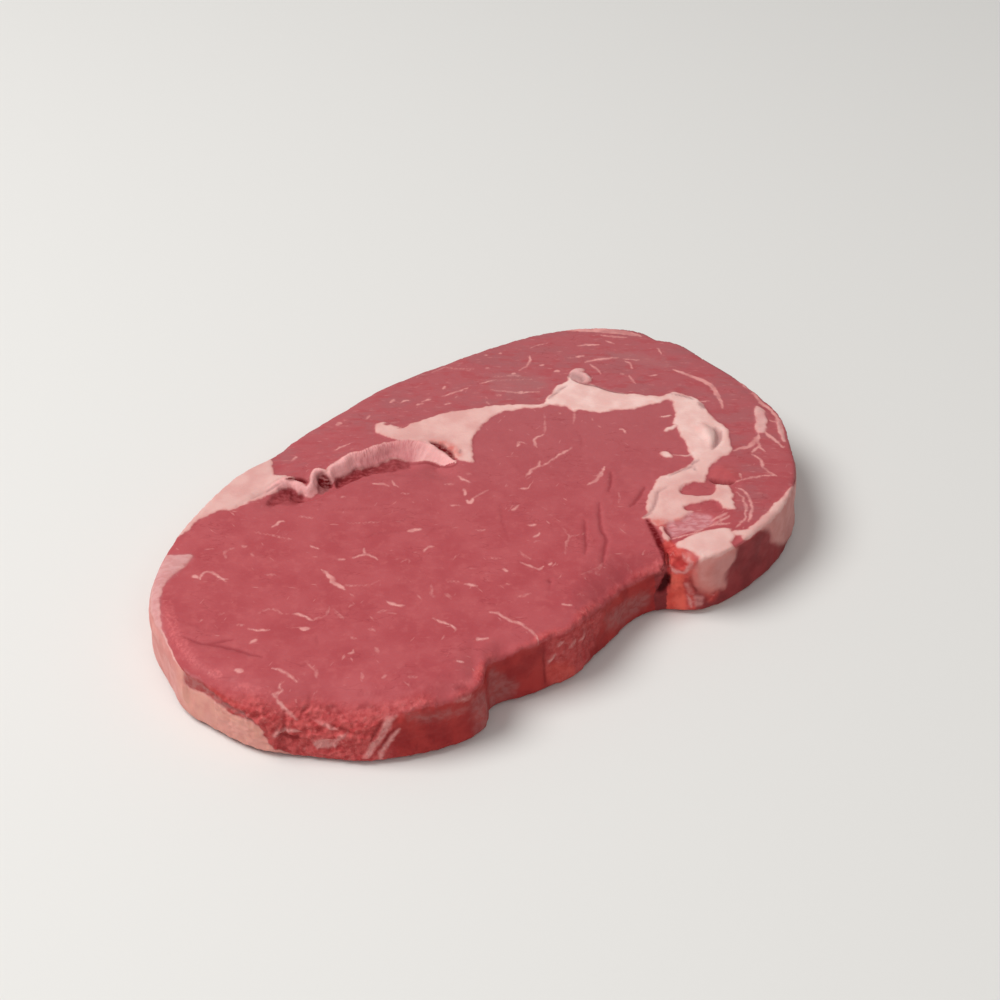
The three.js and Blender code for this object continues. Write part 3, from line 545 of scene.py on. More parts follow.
SEAM_FAT_START = 6
SEAM_FAT_SHORT = 0.2


def seam_place(spots):
    away, along, side = line_distance(spots, curved(SEAM_CREST))
    return away * side, along


def fat_depth(spots):
    depth = deepest(spots, FAT_AREAS, FAT_STROKES)
    depth = np.minimum(depth, -deepest(spots, LEAN_ISLANDS, LEAN_STROKES))
    across, along = seam_place(spots)
    crest = np.minimum(SEAM_FAT_BEHIND - across, across + np.interp(along, SEAM_ALONG, SEAM_SLOPE))
    on_crest = (along > SEAM_FAT_START) & (along < SEAM_ALONG[-1] - SEAM_FAT_SHORT)
    return np.maximum(depth, np.where(on_crest, crest, -FAR_OUT))


# Finer faces along the fat's edges, the marbling, the wrinkles and the open seam, and on the torn corner
# and the lobe's front.
FAT_EDGE_REACH = 0.6
THREAD_REACH = 0.4
SEAM_FROM, SEAM_BELOW, SEAM_BEHIND = 8, -6, 2
LOBE_FRONT_LEFT, LOBE_FRONT_RIGHT, LOBE_FRONT_BACK = 20, 42, -46
LEVEL_ENOUGH = 0.3
centres, normals = face_places()
spots = centres[:, :2]
across, along = seam_place(spots)
fine = np.abs(fat_depth(spots)) < FAT_EDGE_REACH
fine |= deepest(spots, strokes=FLECKS + WRINKLES) > -THREAD_REACH
fine |= (across > SEAM_BELOW) & (across < SEAM_BEHIND) & (along > SEAM_FROM)
fine &= normals[:, 2] > LEVEL_ENOUGH
lobe_faces = (spots[:, 0] > LOBE_FRONT_LEFT) & (spots[:, 0] < LOBE_FRONT_RIGHT)
lobe_faces &= spots[:, 1] < LOBE_FRONT_BACK
corner_faces = depth_in_outline(spots, RAW_CORNER) > 0
fine |= (lobe_faces | corner_faces) & (normals[:, 2] > -LEVEL_ENOUGH)
divide_faces(fine)
shape_with("SMOOTH", factor=0.4, iterations=2)

places, normals = point_places()
top = smooth_step(0.3, 0.8, normals[:, 2])
under = smooth_step(0.5, 0.9, -normals[:, 2])
side = 1 - top - under
above_floor = 1 - under


def even_out(values, rounds):
    mesh = steak.data
    ends = np.zeros(len(mesh.edges) * 2, int)
    mesh.edges.foreach_get("vertices", ends)
    first, second = ends.reshape(-1, 2).T
    count = np.bincount(ends, minlength=len(values))
    for _ in range(rounds):
        total = np.bincount(first, values[second], len(values))
        total += np.bincount(second, values[first], len(values))
        values = 0.5 * values + 0.5 * total / count
    return values


# The knife leaves a crisper edge above than the solid's rounding, but for the torn corner.
EDGE_ROUNDING = 3.2
EDGE_SHARPNESS = 0.9
LEFT_SHARPNESS = 0.1
EDGE_FLOOR = 9
EDGE_WIDTH = 5
rim = depth_in_outline(places[:, :2], waist, steps=1)
upward = np.clip(normals[:, 2], 0, 1)
corner = 1 / np.maximum(upward, np.sqrt(1 - upward ** 2)) - 1
torn = smooth_step(-2, 2, depth_in_outline(places[:, :2], RAW_CORNER))
sharpness = LEFT_SHARPNESS + (EDGE_SHARPNESS - LEFT_SHARPNESS) * smooth_step(-85, -65, places[:, 0])
sharpen = sharpness * EDGE_ROUNDING * corner * (1 - torn) * (places[:, 2] > EDGE_FLOOR) * (rim < EDGE_WIDTH)
places += normals * even_out(sharpen, 3)[:, None]

# That and the even division move the outline a little: the far edge goes back in, and the foot of the near
# side goes out.
FAR_WAY = (0.643, 0.766)
FAR_BACK = 1.2
FOOT_OUT = 1.1
outward = solid_points.max(0)[:2] ** -2.0 * places[:, :2]
outward /= np.maximum(np.hypot(*outward.T), 1e-6)[:, None]
faces_far = outward @ np.array(FAR_WAY)
at_foot = smooth_step(0.1, -0.5, faces_far) * smooth_step(8, 1, places[:, 2]) * smooth_step(9, 1, rim)
outline_move = FOOT_OUT * at_foot * smooth_step(-95, -78, places[:, 0])
outline_move -= FAR_BACK * smooth_step(0, 0.5, faces_far) * smooth_step(14, 2, rim)
places[:, :2] += outward * outline_move[:, None]

# The upper edge sags along the left and near sides. It is given by its height at each angle about the middle,
# and by how far in from the edge the sag reaches there.
EDGE_TURN = [160, 168, 174, 180, 184, 188, 192, 197, 202, 206, 210, 213, 217, 221, 225, 230, 232, 234, 237,
             241, 250, 260, 269, 274, 279, 284, 289, 292, 294, 297]
EDGE_HEIGHT = [19, 18.4, 17.6, 17, 16.8, 16.5, 16, 15, 13.8, 13, 13, 14.3, 16, 17, 15.8, 16.2, 17.3, 16.3,
               15.5, 17.5, 18, 18, 15.6, 14.7, 14.6, 13.5, 13.2, 14.2, 16, 19]
EDGE_REACH = [4, 4, 5, 6, 7, 8, 10, 13, 15, 14, 13, 12, 10, 8, 8, 8, 6, 5, 5, 6, 7, 8, 10, 12, 13, 13, 12,
              9, 7, 5]
CUT_HEIGHT = 19.0
SAG_POWER = 1.7
turn = np.degrees(np.arctan2(places[:, 1], places[:, 0])) % 360
sag = 1 - np.interp(turn, EDGE_TURN, EDGE_HEIGHT) / CUT_HEIGHT
sag *= np.clip(1 - rim / np.interp(turn, EDGE_TURN, EDGE_REACH), 0, 1) ** SAG_POWER
places[:, 2] *= 1 - sag

# The charts that the outlines lie on, and the sides that they belong to. The wobble makes every edge uneven.
NEAR_FROM, LEFT_FROM, FAR_FROM, RIGHT_FROM = -20, -60, 12, 76
WOBBLE_SIZE = 1.6
spots = places[:, :2]
near_chart = places[:, [0, 2]]
left_chart = places[:, [1, 2]]
lobe_chart = np.stack([spots @ np.array(LOBE_WAY), places[:, 2]], 1)
near_side = side * (places[:, 1] < NEAR_FROM)
left_side = side * (places[:, 0] < LEFT_FROM)
far_side = side * ((places[:, 1] > FAR_FROM) | (places[:, 0] > RIGHT_FROM))
wobble = np.stack([grain(places, WOBBLE_SIZE, 21), grain(places, WOBBLE_SIZE, 22)], 1)
gap_away, _, lobe_side = line_distance(spots, curved(GAP_LIP))
on_lobe = (lobe_side > 0) & (spots[:, 0] < 46) & (spots[:, 1] < -44)
lobe_front = above_floor * on_lobe


# Masks between 0 and 1: of a depth, of an outline with a wavering edge, of a stroke, and of several together.
def within(depth, soft=0.6):
    return smooth_step(-soft, soft, depth)


def inside(outline, soft=0.6, waver=0.0, chart=None):
    chart = spots if chart is None else chart
    return within(depth_in_outline(chart + waver * wobble, outline), soft)


def on_stroke(line, half_width, soft=0.6, chart=None):
    chart = spots if chart is None else chart
    return within(depth_in_stroke(chart, line, half_width), soft)


def strongest(*masks):
    return np.max(masks, axis=0)


# How deep each point lies in fat: from above, from the near, left and far sides, and from below.
FAR_FAT_TOP = 18.0
THICK = 3.0
fat_above = fat_depth(spots + 0.4 * wobble)
lobe_fat = deepest(lobe_chart + 0.3 * wobble, LOBE_FAT_AREAS)
near_fat = np.where(on_lobe, lobe_fat, deepest(near_chart + 0.4 * wobble, NEAR_FAT_AREAS))
left_fat = depth_in_outline(left_chart + 0.3 * wobble, LEFT_FAT_AREA)
far_fat = np.minimum(FAR_FAT_TOP - places[:, 2], 2 + 5 * grain(places, 22, 11))
fat_beside = strongest(*[np.where(reach > 0, depth, -FAR_OUT) for reach, depth in
                         ((near_side, near_fat), (left_side, left_fat), (far_side, far_fat))])
fat_below = fat_depth(spots * 0.98 + 1.5 + 1.2 * wobble)
fat = top * np.clip(fat_above, -THICK, THICK) + side * np.clip(fat_beside, -THICK, THICK)
fat += under * np.clip(fat_below, -THICK, THICK)

fleck = deepest(spots + 0.4 * wobble, strokes=FLECKS)
faint = deepest(spots + 0.4 * wobble, strokes=FAINT_FLECKS)
wrinkle = deepest(spots + 0.3 * wobble, strokes=WRINKLES)
faint_wrinkle = deepest(spots + 0.3 * wobble, strokes=FAINT_WRINKLES)
pale = deepest(spots + 0.6 * wobble, strokes=RIM_HIGHLIGHT_STROKES)
raw_dark = deepest(spots + 0.6 * wobble, strokes=RAW_DARK_STROKES)
near_pale = np.maximum(deepest(near_chart + 0.4 * wobble, NEAR_PALE_AREAS),
                       deepest(near_chart + 0.3 * wobble, strokes=NEAR_PALE_STROKES))
near_dark = deepest(near_chart + 0.2 * wobble, strokes=NEAR_DARK_STROKES)
lobe_pale = strongest(0.7 * within(deepest(lobe_chart + 0.4 * wobble, LOBE_PALE_AREAS), 0.6),
                      within(deepest(lobe_chart + 0.4 * wobble, strokes=LOBE_PALE_STROKES), 0.5))
left_mauve = deepest(left_chart + 0.3 * wobble, [LEFT_MAUVE], [(0.9, LEFT_MAUVE_LINE)])

lumps = np.stack([grain(places, 5, 23), grain(places, 5, 24)], 1)
across, along = seam_place(spots + 0.25 * wobble + 0.5 * lumps)
drop = np.interp(along, SEAM_ALONG, SEAM_DROP)
slope = np.interp(along, SEAM_ALONG, SEAM_SLOPE)
seam_end = smooth_step(5, 14, along) * smooth_step(SEAM_ALONG[-1], SEAM_ALONG[-2], along)
slit = depth_in_outline(spots + 0.2 * wobble, SEAM_SLIT)
below_face = smooth_step(0.5, -0.5, across + slope)
cleft = inside(SEAM_CLEFT, 0.8, 0.8) * below_face * np.interp(spots[:, 0], [-22, -13, -5], [1, 0.9, 0.7])
notch = within(depth_in_outline(spots + 0.2 * wobble, SEAM_NOTCH) + 0.4, 0.4)
pit = inside(SEAM_PIT, 0.8, 0.9) * smooth_step(-0.5, -1.5, across) * smooth_step(-10, -3, across)
curl_hollow = inside(CURL_HOLLOW, 0.5, 0.5)

# Relief of the cut face, in millimetres up and down. Each row of bumps and hollows gives the height, how far
# inside the outline its slope starts and ends, and the outline.
CLEFT_DEPTH, PIT_DEPTH, NOTCH_DEPTH, SLIT_DEPTH, BACK_CREASE_DEPTH = 0.5, 0.5, 0.9, 0.9, 0.8
CURL_DEPTH, BULGE_SHADOW_DEPTH, ISLAND_DEPTH, GREY_LINE_DEPTH = 0.45, 1.0, 0.3, 0.35
WRINKLE_DEPTH, WRINKLE_LIP, FAINT_WRINKLE_DEPTH = 0.24, 0.1, 0.12
FAT_RISE = 0.3
BUMPS = [
    (0.9, -0.5, 2, BAR_BUMP),
    (-1.7, -0.5, 1.2, BAR_PIT),
    (0.35, -0.6, 0.6, CURL),
    (0.8, -0.8, 3, LOBE_BULGE),
    (-0.5, -1, 1, LOBE_FILM),
    (0.5, -0.8, 0.8, LOBE_RIDGE),
]
fibre = np.stack([along, across * 0.2, 0 * along], 1)
sunk = smooth_step(0.1, -1, across / slope) * (1 - smooth_step(0, 1, (-across - slope) / SEAM_RECOVERY))
crest = np.exp(-((across + 0.8) / 1.5) ** 2) * (1 + 0.5 * grain(fibre, 3, 9))
face = smooth_step(0.8, 0, across) * smooth_step(-slope - 0.6, -slope + 0.4, across)
pleats = 0.15 * grain(fibre, 0.8, 3) + 0.1 * grain(places, 1.8, 19)
rise = seam_end * (SEAM_CREST_HEIGHT * crest - drop * sunk + pleats * face)
rise -= CLEFT_DEPTH * cleft * (1 + 0.5 * grain(places, 1.5, 4))
rise -= PIT_DEPTH * pit * (1 + 0.5 * grain(places, 1.3, 4))
rise -= NOTCH_DEPTH * notch + SLIT_DEPTH * within(slit, 0.5)
rise -= BACK_CREASE_DEPTH * on_stroke(BACK_CREASE, 0.5) * (across > 0)
rise += FAT_RISE * within(fat_above) * (face < 0.1)
for height, start, end, outline in BUMPS:
    rise += height * smooth_step(start, end, depth_in_outline(spots, outline))
rise -= CURL_DEPTH * curl_hollow
rise -= BULGE_SHADOW_DEPTH * smooth_step(-0.6, 0.9, depth_in_stroke(spots, BULGE_SHADOW, 0.9))
rise -= ISLAND_DEPTH * within(deepest(spots, LEAN_ISLANDS))
rise -= GREY_LINE_DEPTH * within(deepest(spots, strokes=GREY_LINES), 0.4)
rise -= WRINKLE_DEPTH * within(wrinkle, 0.5) - WRINKLE_LIP * np.exp(-((wrinkle + 1.2) / 0.7) ** 2)
rise -= FAINT_WRINKLE_DEPTH * within(faint_wrinkle, 0.5)
GRAIN_TURN = math.radians(-40)
GRAIN_NARROWER = 3.5
turned = np.stack([spots[:, 0] * math.cos(GRAIN_TURN) + spots[:, 1] * math.sin(GRAIN_TURN),
                   GRAIN_NARROWER * (spots[:, 1] * math.cos(GRAIN_TURN) - spots[:, 0] * math.sin(GRAIN_TURN)),
                   places[:, 2]], 1)
ripple = grain(turned, 8, 7) * smooth_step(-0.1, 0.4, grain(places, 25, 8))
rise += 0.1 * ripple * (1 - within(fat_above)) + 0.2 * grain(places, 14, 1) + 0.06 * grain(places, 3, 2)

# Torn flesh along the near edge, at its ragged stretches, and on the near and left sides.
RAGGED_X = [-62, -57, -41, -38, -26, -22, -6, -2, 14, 19, 24, 26]
RAGGED = [1, 1, 1, 0.6, 0.6, 1, 1, 0.7, 0.7, 1, 1, 0]
BUMPY_WALL = [(-22, 17.5), (-9, 19), (-1.8, 15), (-1, 10), (-6, 4), (-12, 1), (-20, 1), (-22, 8)]
torn_width = 1.2 + 1.4 * grain(places, 6, 12)
near_edge = smooth_step(torn_width + 1.4, torn_width - 0.8, rim) * (spots[:, 1] < -15)
near_edge *= np.interp(spots[:, 0], RAGGED_X, RAGGED)
torn_here = torn * above_floor * (1 - side * smooth_step(-72, -65, spots[:, 0]))
raw = strongest(top * near_edge, torn_here, 0.75 * near_side * inside(BUMPY_WALL, 1.5, 0, near_chart))
raw *= 1 - within(fat, 0.4)
crumbs = 1 - 1.8 * np.abs(grain(places, 2.8, 13)) + 0.9 * grain(places, 1.1, 14)
places[:, 2] += rise * top

# Relief of the sides, outwards and inwards.
pocket = lobe_front * inside(LOBE_POCKET, 0.6, 0, lobe_chart)
lobe_fold = lobe_front * on_stroke(LOBE_FOLD, 0.5, 0.5, lobe_chart)
hole = above_floor * (places[:, 1] < -40) * inside(GAP_HOLE, 0.8, 0.4, lobe_chart) * (gap_away < 3)
push = raw * (0.33 * crumbs - 0.26) + 0.25 * near_edge * crumbs * above_floor
push -= 0.4 * within(raw_dark, 0.5) * above_floor
push -= 0.7 * pocket + 0.4 * lobe_fold + 0.9 * hole
push += side * (0.35 * grain(places, 9, 5) + 0.15 * grain(places, 3, 6))
push += near_side * (0.4 * within(near_fat, 0.8) + 0.2 * within(near_pale) - 0.35 * within(near_dark, 0.5))
push += left_side * 0.6 * on_stroke(LEFT_RIDGE, 0.5, chart=left_chart)
push -= left_side * 0.5 * on_stroke(LEFT_FOLD, 1.0, 1, left_chart)
push -= left_side * 0.4 * within(left_mauve)
push *= smooth_step(0, 3, places[:, 2])
places += normals * push[:, None]
places[:, 2] = np.maximum(places[:, 2], 0)
move_points(places)

# Where each colour lies.
CAP_MUSCLE = [(-34, 66), (-34, 56), (-36, 46), (-34, 39), (-27, 38), (-15, 37.5), (-3, 42), (3, 40),
              (18, 37), (34, 29.5), (46, 23.5), (58, 28), (60, 21), (67, 8.5), (76, 1.5), (79.6, -6),
              (76.3, -19), (70, -30), (63, -41), (57, -45), (50, -51), (44, -56), (50, -60), (75, -52),
              (100, -35), (105, 0), (95, 40), (70, 62), (0, 70)]
GAP_HEIGHT = [8, 10.5, 12.5, 14.5, 18, 19.5]
GAP_SHARE = [0, 1, 1, 0.2, 0.2, 0]
# Painted shade: dark red in the recesses and under overhangs, from the slit, notch and gap to the grooves of
# the near side and the torn corner.
crevice_shade = top * strongest(
    0.5 * on_stroke(TONGUE_SHADOW, 0.4, 0.4), 0.55 * inside(SEAM_TAN, 0.5, 0.3),
    0.8 * on_stroke(BULGE_SHADOW, 0.8), on_stroke(GAP_LIP, 1.0, 0.5),
    0.5 * inside(LOBE_DARK_SPOT, 0.4), 0.3 * on_stroke(BAR_EDGE, 0.35, 0.4))
opened = strongest(notch, within(slit, 0.4), on_stroke(BACK_CREASE, 0.7, 0.4)) * (places[:, 2] > 12)
in_gap = smooth_step(1.4, 0.3, gap_away) * np.interp(places[:, 2], GAP_HEIGHT, GAP_SHARE)
in_gap = np.maximum(in_gap * above_floor, hole)
crevice_shade = strongest(
    crevice_shade, opened * above_floor, in_gap, 0.45 * lobe_fold,
    0.6 * near_side * within(near_dark, 0.4), 0.35 * within(raw_dark, 0.5) * above_floor)
# Greyish tone of membranes, lines and patches, and painted shade in the bar's pit, in the curl's hollow, on
# the block's front and on the near fat wall past the lobe.
grey_and_shade = strongest(
    top * within(deepest(spots, GREY_AREAS, GREY_LINES), 0.4), 0.85 * top * curl_hollow,
    0.3 * top * (1 - within(fat, 0.4)) * within(deepest(spots + 2 * wobble, GREY_LEAN), 2),
    0.25 * top * inside(LEFT_PATCH, 1), 0.18 * top * inside(LEFT_WEDGE, 1),
    0.8 * top * inside(SEAM_TAN, 0.5, 0.3),
    0.45 * lobe_front * side * inside(BLOCK_SHADE, 1.5, 0, lobe_chart),
    0.35 * near_side * within(fat, 0.5) * (spots[:, 0] > 50))
film = strongest(
    top * inside(LOBE_FILM), 0.7 * top * inside(LEFT_PATCH, 1), 0.55 * top * inside(CURL, 0.4),
    0.75 * near_side * within(deepest(near_chart + wobble, NEAR_FILM_AREAS), 1.5),
    0.4 * top * within(deepest(spots, [RIGHT_BAND, RIGHT_RIM_BAND]), 0.8),
    left_side * within(left_mauve, 0.5))
orange = strongest(lobe_front * inside(LOBE_ORANGE, 0.6, 0.5, lobe_chart),
                   0.45 * near_side * inside(NEAR_ORANGE, 1.5, 1, near_chart))
gap_wall = smooth_step(28.9, 27.7, spots[:, 0] + 0.4 * wobble[:, 0]) * smooth_step(-45.5, -47.5, spots[:, 1])
red_meat = strongest(lobe_front * gap_wall, 0.9 * lobe_front * inside(BLOCK_LOW_RED, 1, 0, lobe_chart),
                     0.2 * top * inside(LOBE_BULGE, 1))
blush = strongest(
    top * within(deepest(spots, [SEAM_BLUSH, LOBE_STAIN]), 1.2), 0.8 * top * inside(LOBE_STREAK, 0.7),
    0.85 * near_side * on_lobe * on_stroke(BLOCK_STAIN, 1.3, 1.3, lobe_chart),
    0.6 * top * on_stroke(BLOCK_RIM_STAIN, 0.9, 1), 0.3 * near_side * on_lobe * within(lobe_fat, 1))
clean = smooth_step(20, 42, spots[:, 0]) * smooth_step(84, 80, spots[:, 0])
clean *= smooth_step(-34, -26, spots[:, 1])
MASKS = {
    "fat": fat,
    "fleck": np.where(top > 0.2, fleck, -FAR_OUT),
    "crevice_shade": crevice_shade,
    "faint": np.where(top > 0.2, faint, -FAR_OUT),
    "crease_shade": top * strongest(within(wrinkle, 0.4), 0.45 * within(faint_wrinkle, 0.4)),
    "raw": raw,
    "red_meat": red_meat,
    "red_deep": strongest(pocket, 0.7 * lobe_front * inside(LOBE_DEEP_RED)),
    # Near black painted shade down in the gap between eye and lobe and in its hole.
    "gap_shade": 0.8 * smooth_step(0.4, 1, in_gap),
    "rim_highlight": above_floor * within(pale, 0.8),
    "pale": np.where(on_lobe, lobe_front * lobe_pale, near_side * within(near_pale, 0.4)),
    # The near side right of the gap: softer fat edges, and the darker red of painted shade.
    "soft": near_side * (spots[:, 0] > 20),
    "crumbly_shade": top * strongest(cleft, 0.9 * pit),
    "cap": top * inside(CAP_MUSCLE, 1.5),
    "warm": left_side * smooth_step(2, -6, spots[:, 1]),
    "film": film,
    "grey_and_shade": grey_and_shade,
    "orange": orange,
    "blush": blush,
    "clean": strongest(clean, 0.55 * inside(BLOCK_TOP, 1.5) * top),
    "beside": side,
    "along": along,
    "facing": np.clip(-across / slope, 0, 1),
    "pleated": seam_end * face * top,
}
for name, values in MASKS.items():
    attribute = steak.data.attributes.new(name, "FLOAT", "POINT")
    attribute.data.foreach_set("value", np.asarray(values, np.float32))

bpy.ops.object.shade_smooth()


# Moist raw flesh, from dull red muscle to pinkish white fat.
def paint(red, green, blue):
    def linear(level):
        level /= 255
        return level / 12.92 if level <= 0.04045 else ((level + 0.055) / 1.055) ** 2.4
    return (linear(red), linear(green), linear(blue), 1)


flesh = bpy.data.materials.new("raw_beef")
flesh.use_nodes = True
tree = flesh.node_tree
tree.nodes.clear()


def add_node(kind, **settings):
    made = tree.nodes.new(kind)
    for name, value in settings.items():
        setattr(made, name, value)
    return made


def feed(socket, value):
    if isinstance(value, bpy.types.NodeSocket):
        tree.links.new(value, socket)
    else:
        socket.default_value = value


def read(name):
    return add_node("ShaderNodeAttribute", attribute_name=name).outputs["Fac"]


def work_out(operation, first, second=0.0):
    made = add_node("ShaderNodeMath", operation=operation)
    feed(made.inputs[0], first)
    feed(made.inputs[1], second)
    return made.outputs[0]


def ease(value, low, high, to_low=0.0, to_high=1.0):
    made = add_node("ShaderNodeMapRange", interpolation_type="SMOOTHSTEP")
    feed(made.inputs["Value"], value)
    made.inputs["From Min"].default_value = low
    made.inputs["From Max"].default_value = high
    made.inputs["To Min"].default_value = to_low
    made.inputs["To Max"].default_value = to_high
    return made.outputs["Result"]


coordinates = add_node("ShaderNodeTexCoord")


def mottle(size, detail=2.0, longer=1.0, shift=0.0, turned_by=GRAIN_TURN):
    # Noise between 0 and 1 with spots of the given width, longer in one direction.
    mapping = add_node("ShaderNodeMapping", vector_type="TEXTURE")
    tree.links.new(coordinates.outputs["Object"], mapping.inputs["Vector"])
    mapping.inputs["Location"].default_value = (shift, shift, shift)
    mapping.inputs["Rotation"].default_value = (0, 0, turned_by)
    mapping.inputs["Scale"].default_value = (longer, 1, 1)
    made = add_node("ShaderNodeTexNoise")
    tree.links.new(mapping.outputs["Vector"], made.inputs["Vector"])
    made.inputs["Scale"].default_value = 1 / (size * MM)
    made.inputs["Detail"].default_value = detail
    return made.outputs["Fac"]


def blend(mask, under_colour, over_colour):
    made = add_node("ShaderNodeMix", data_type="RGBA")
    feed(made.inputs[0], mask)
    feed(made.inputs[6], under_colour)
    feed(made.inputs[7], over_colour)
    return made.outputs[2]


skin = add_node("ShaderNodeBsdfPrincipled")
out = add_node("ShaderNodeOutputMaterial")
tree.links.new(skin.outputs["BSDF"], out.inputs["Surface"])

LEAN = paint(183, 86, 90)
LEAN_DEEP = paint(175, 76, 81)
LEAN_PALE = paint(191, 96, 98)
LEAN_FAR_SHEEN = paint(176, 93, 97)
SIDE_RED = paint(174, 58, 55)
SIDE_RED_DEEP = paint(154, 46, 46)
LOBE_SIDE_SHADE = paint(150, 58, 60)
LOBE_SIDE_SHADE_DEEP = paint(130, 48, 50)
RAW_RED = paint(204, 92, 91)
RAW_RED_DEEP = paint(180, 68, 69)
RAW_GLINT = paint(212, 122, 118)
RIM_HIGHLIGHT = paint(214, 112, 113)
CAP_GREY = paint(166, 96, 99)
FLECK = paint(224, 154, 149)
FAT_CLEAN = paint(241, 201, 193)
FAT = paint(231, 182, 174)
FAT_DULL = paint(222, 165, 158)
FAT_EDGE = paint(214, 144, 139)
SIDE_FAT = paint(220, 151, 144)
SIDE_FAT_PINK = paint(208, 132, 125)
PLEAT_CREST_HIGHLIGHT = paint(229, 157, 155)
TONGUE_HIGHLIGHT = paint(240, 178, 175)
PLEAT_LEFT_LIT = paint(250, 184, 182)
PLEAT_PINK = paint(211, 133, 135)
PLEAT_FOLD = paint(184, 99, 104)
PALE = paint(216, 144, 140)
FILM = paint(212, 146, 149)
FILM_SHADED_BESIDE = paint(172, 108, 106)
GREY_AND_SHADE = paint(172, 124, 122)
SIDE_FAT_WARM = paint(226, 160, 145)
ORANGE_LIT = paint(232, 102, 88)
ORANGE_LIT_DEEP = paint(208, 76, 66)
RED_MEAT = paint(208, 84, 78)
RED_MEAT_DULL = paint(182, 62, 60)
RED_DEEP = paint(186, 62, 60)
BLUSH = paint(214, 114, 106)
CREVICE_SHADE = paint(106, 10, 18)
CRUMB_SHADE = paint(122, 34, 38)
GAP_SHADE = paint(58, 5, 8)
THREAD_AND_CREASE_SHADE = paint(146, 54, 60)

ragged = work_out("MULTIPLY", work_out("SUBTRACT", mottle(3.5, 6), 0.5), 1.7)
frayed = work_out("MULTIPLY", work_out("SUBTRACT", mottle(1.2, 4, shift=0.3), 0.5), 0.9)
fat_depth_here = work_out("ADD", read("fat"), ragged)
soft = read("soft")
crisp_mask = work_out("MULTIPLY", ease(fat_depth_here, -0.3, 0.3), work_out("SUBTRACT", 1.0, soft))
fat_mask = work_out("ADD", crisp_mask, work_out("MULTIPLY", ease(fat_depth_here, -1.2, 1.2), soft))
beside = ease(work_out("ADD", read("beside"), work_out("MULTIPLY", frayed, 0.6)), 0.25, 0.75)
fleck_mask = ease(work_out("ADD", read("fleck"), frayed), -0.35, 0.35)
fleck_mask = work_out("MULTIPLY", fleck_mask, ease(mottle(4, 2, shift=0.3), 0.3, 0.65, 0.5, 1.0))
faint_mask = ease(work_out("ADD", read("faint"), frayed), -0.35, 0.35, 0, 0.45)

lean = blend(ease(mottle(10, 4), 0.35, 0.65), LEAN_DEEP, LEAN)
lean = blend(ease(mottle(2.2, 4), 0.45, 0.8, 0, 0.6), lean, LEAN_PALE)
# Painted sheen: the lean turns greyer towards the far side.
towards_far = add_node("ShaderNodeVectorMath", operation="DOT_PRODUCT")
tree.links.new(coordinates.outputs["Object"], towards_far.inputs[0])
towards_far.inputs[1].default_value = FAR_WAY + (0,)
lean = blend(ease(towards_far.outputs["Value"], -30 * MM, 60 * MM, 0, 0.85), lean, LEAN_FAR_SHEEN)
for turned_by, shift in ((-0.7, 0.7), (0.4, 0.9), (1.5, 1.3)):
    dashes = ease(mottle(1.4, 2, 3.5, shift, turned_by), 0.7, 0.82, 0, 0.45)
    lean = blend(dashes, lean, FLECK)
cap = read("cap")
cap_grey = work_out("MULTIPLY", cap, ease(mottle(6, 3, 2, 8.2), 0.42, 0.62, 0, 0.6))
lean = blend(cap_grey, lean, CAP_GREY)
cap_deep = work_out("MULTIPLY", cap, ease(mottle(2.2, 4, 2.5, 7.3), 0.5, 0.66, 0, 0.55))
lean = blend(cap_deep, lean, LEAN_DEEP)
cap_hairs = work_out("MULTIPLY", cap, ease(mottle(1.0, 4, 3, 6.1), 0.58, 0.76, 0, 0.3))
lean = blend(cap_hairs, lean, FLECK)
dark_threads = work_out("ABSOLUTE", work_out("SUBTRACT", mottle(3.6, 3, 2.5, 1.7), 0.5))
thread_places = ease(mottle(12, 1, shift=2.9), 0.5, 0.65, 0, 0.35)
dark_threads = work_out("MULTIPLY", ease(dark_threads, 0.02, 0.0), thread_places)
# Painted shade in the knife's wrinkles; the random dark threads of the lean share its colour.
crease_shade_mask = work_out("MULTIPLY", read("crease_shade"), 0.65)
lean = blend(work_out("MAXIMUM", dark_threads, crease_shade_mask), lean, THREAD_AND_CREASE_SHADE)
side_red = blend(ease(mottle(6, 4, shift=0.2), 0.35, 0.65), SIDE_RED_DEEP, SIDE_RED)
# Painted shade: the near side right of the gap takes a darker red than the other sides.
lobe_shaded_red = blend(ease(mottle(6, 4, shift=0.2), 0.35, 0.65), LOBE_SIDE_SHADE_DEEP, LOBE_SIDE_SHADE)
lean = blend(beside, lean, blend(soft, side_red, lobe_shaded_red))
raw_red = blend(ease(mottle(2.0, 6, shift=0.4), 0.38, 0.6), RAW_RED_DEEP, RAW_RED)
# Painted glints: bright specks on the torn crumbs stand in for their small highlights.
specks = mottle(1.0, 3, shift=2.2)
raw_red = blend(ease(specks, 0.56, 0.74, 0, 0.6), raw_red, RAW_GLINT)
lean = blend(work_out("MULTIPLY", read("raw"), 0.85), lean, raw_red)
red_meat = blend(ease(mottle(1.6, 4, 2, 3.7), 0.38, 0.62), RED_MEAT_DULL, RED_MEAT)
red_meat = blend(ease(mottle(1.3, 4, 2, 5.5), 0.56, 0.72, 0, 0.45), red_meat, PALE)
lean = blend(read("red_meat"), lean, red_meat)
lean = blend(read("red_deep"), lean, RED_DEEP)
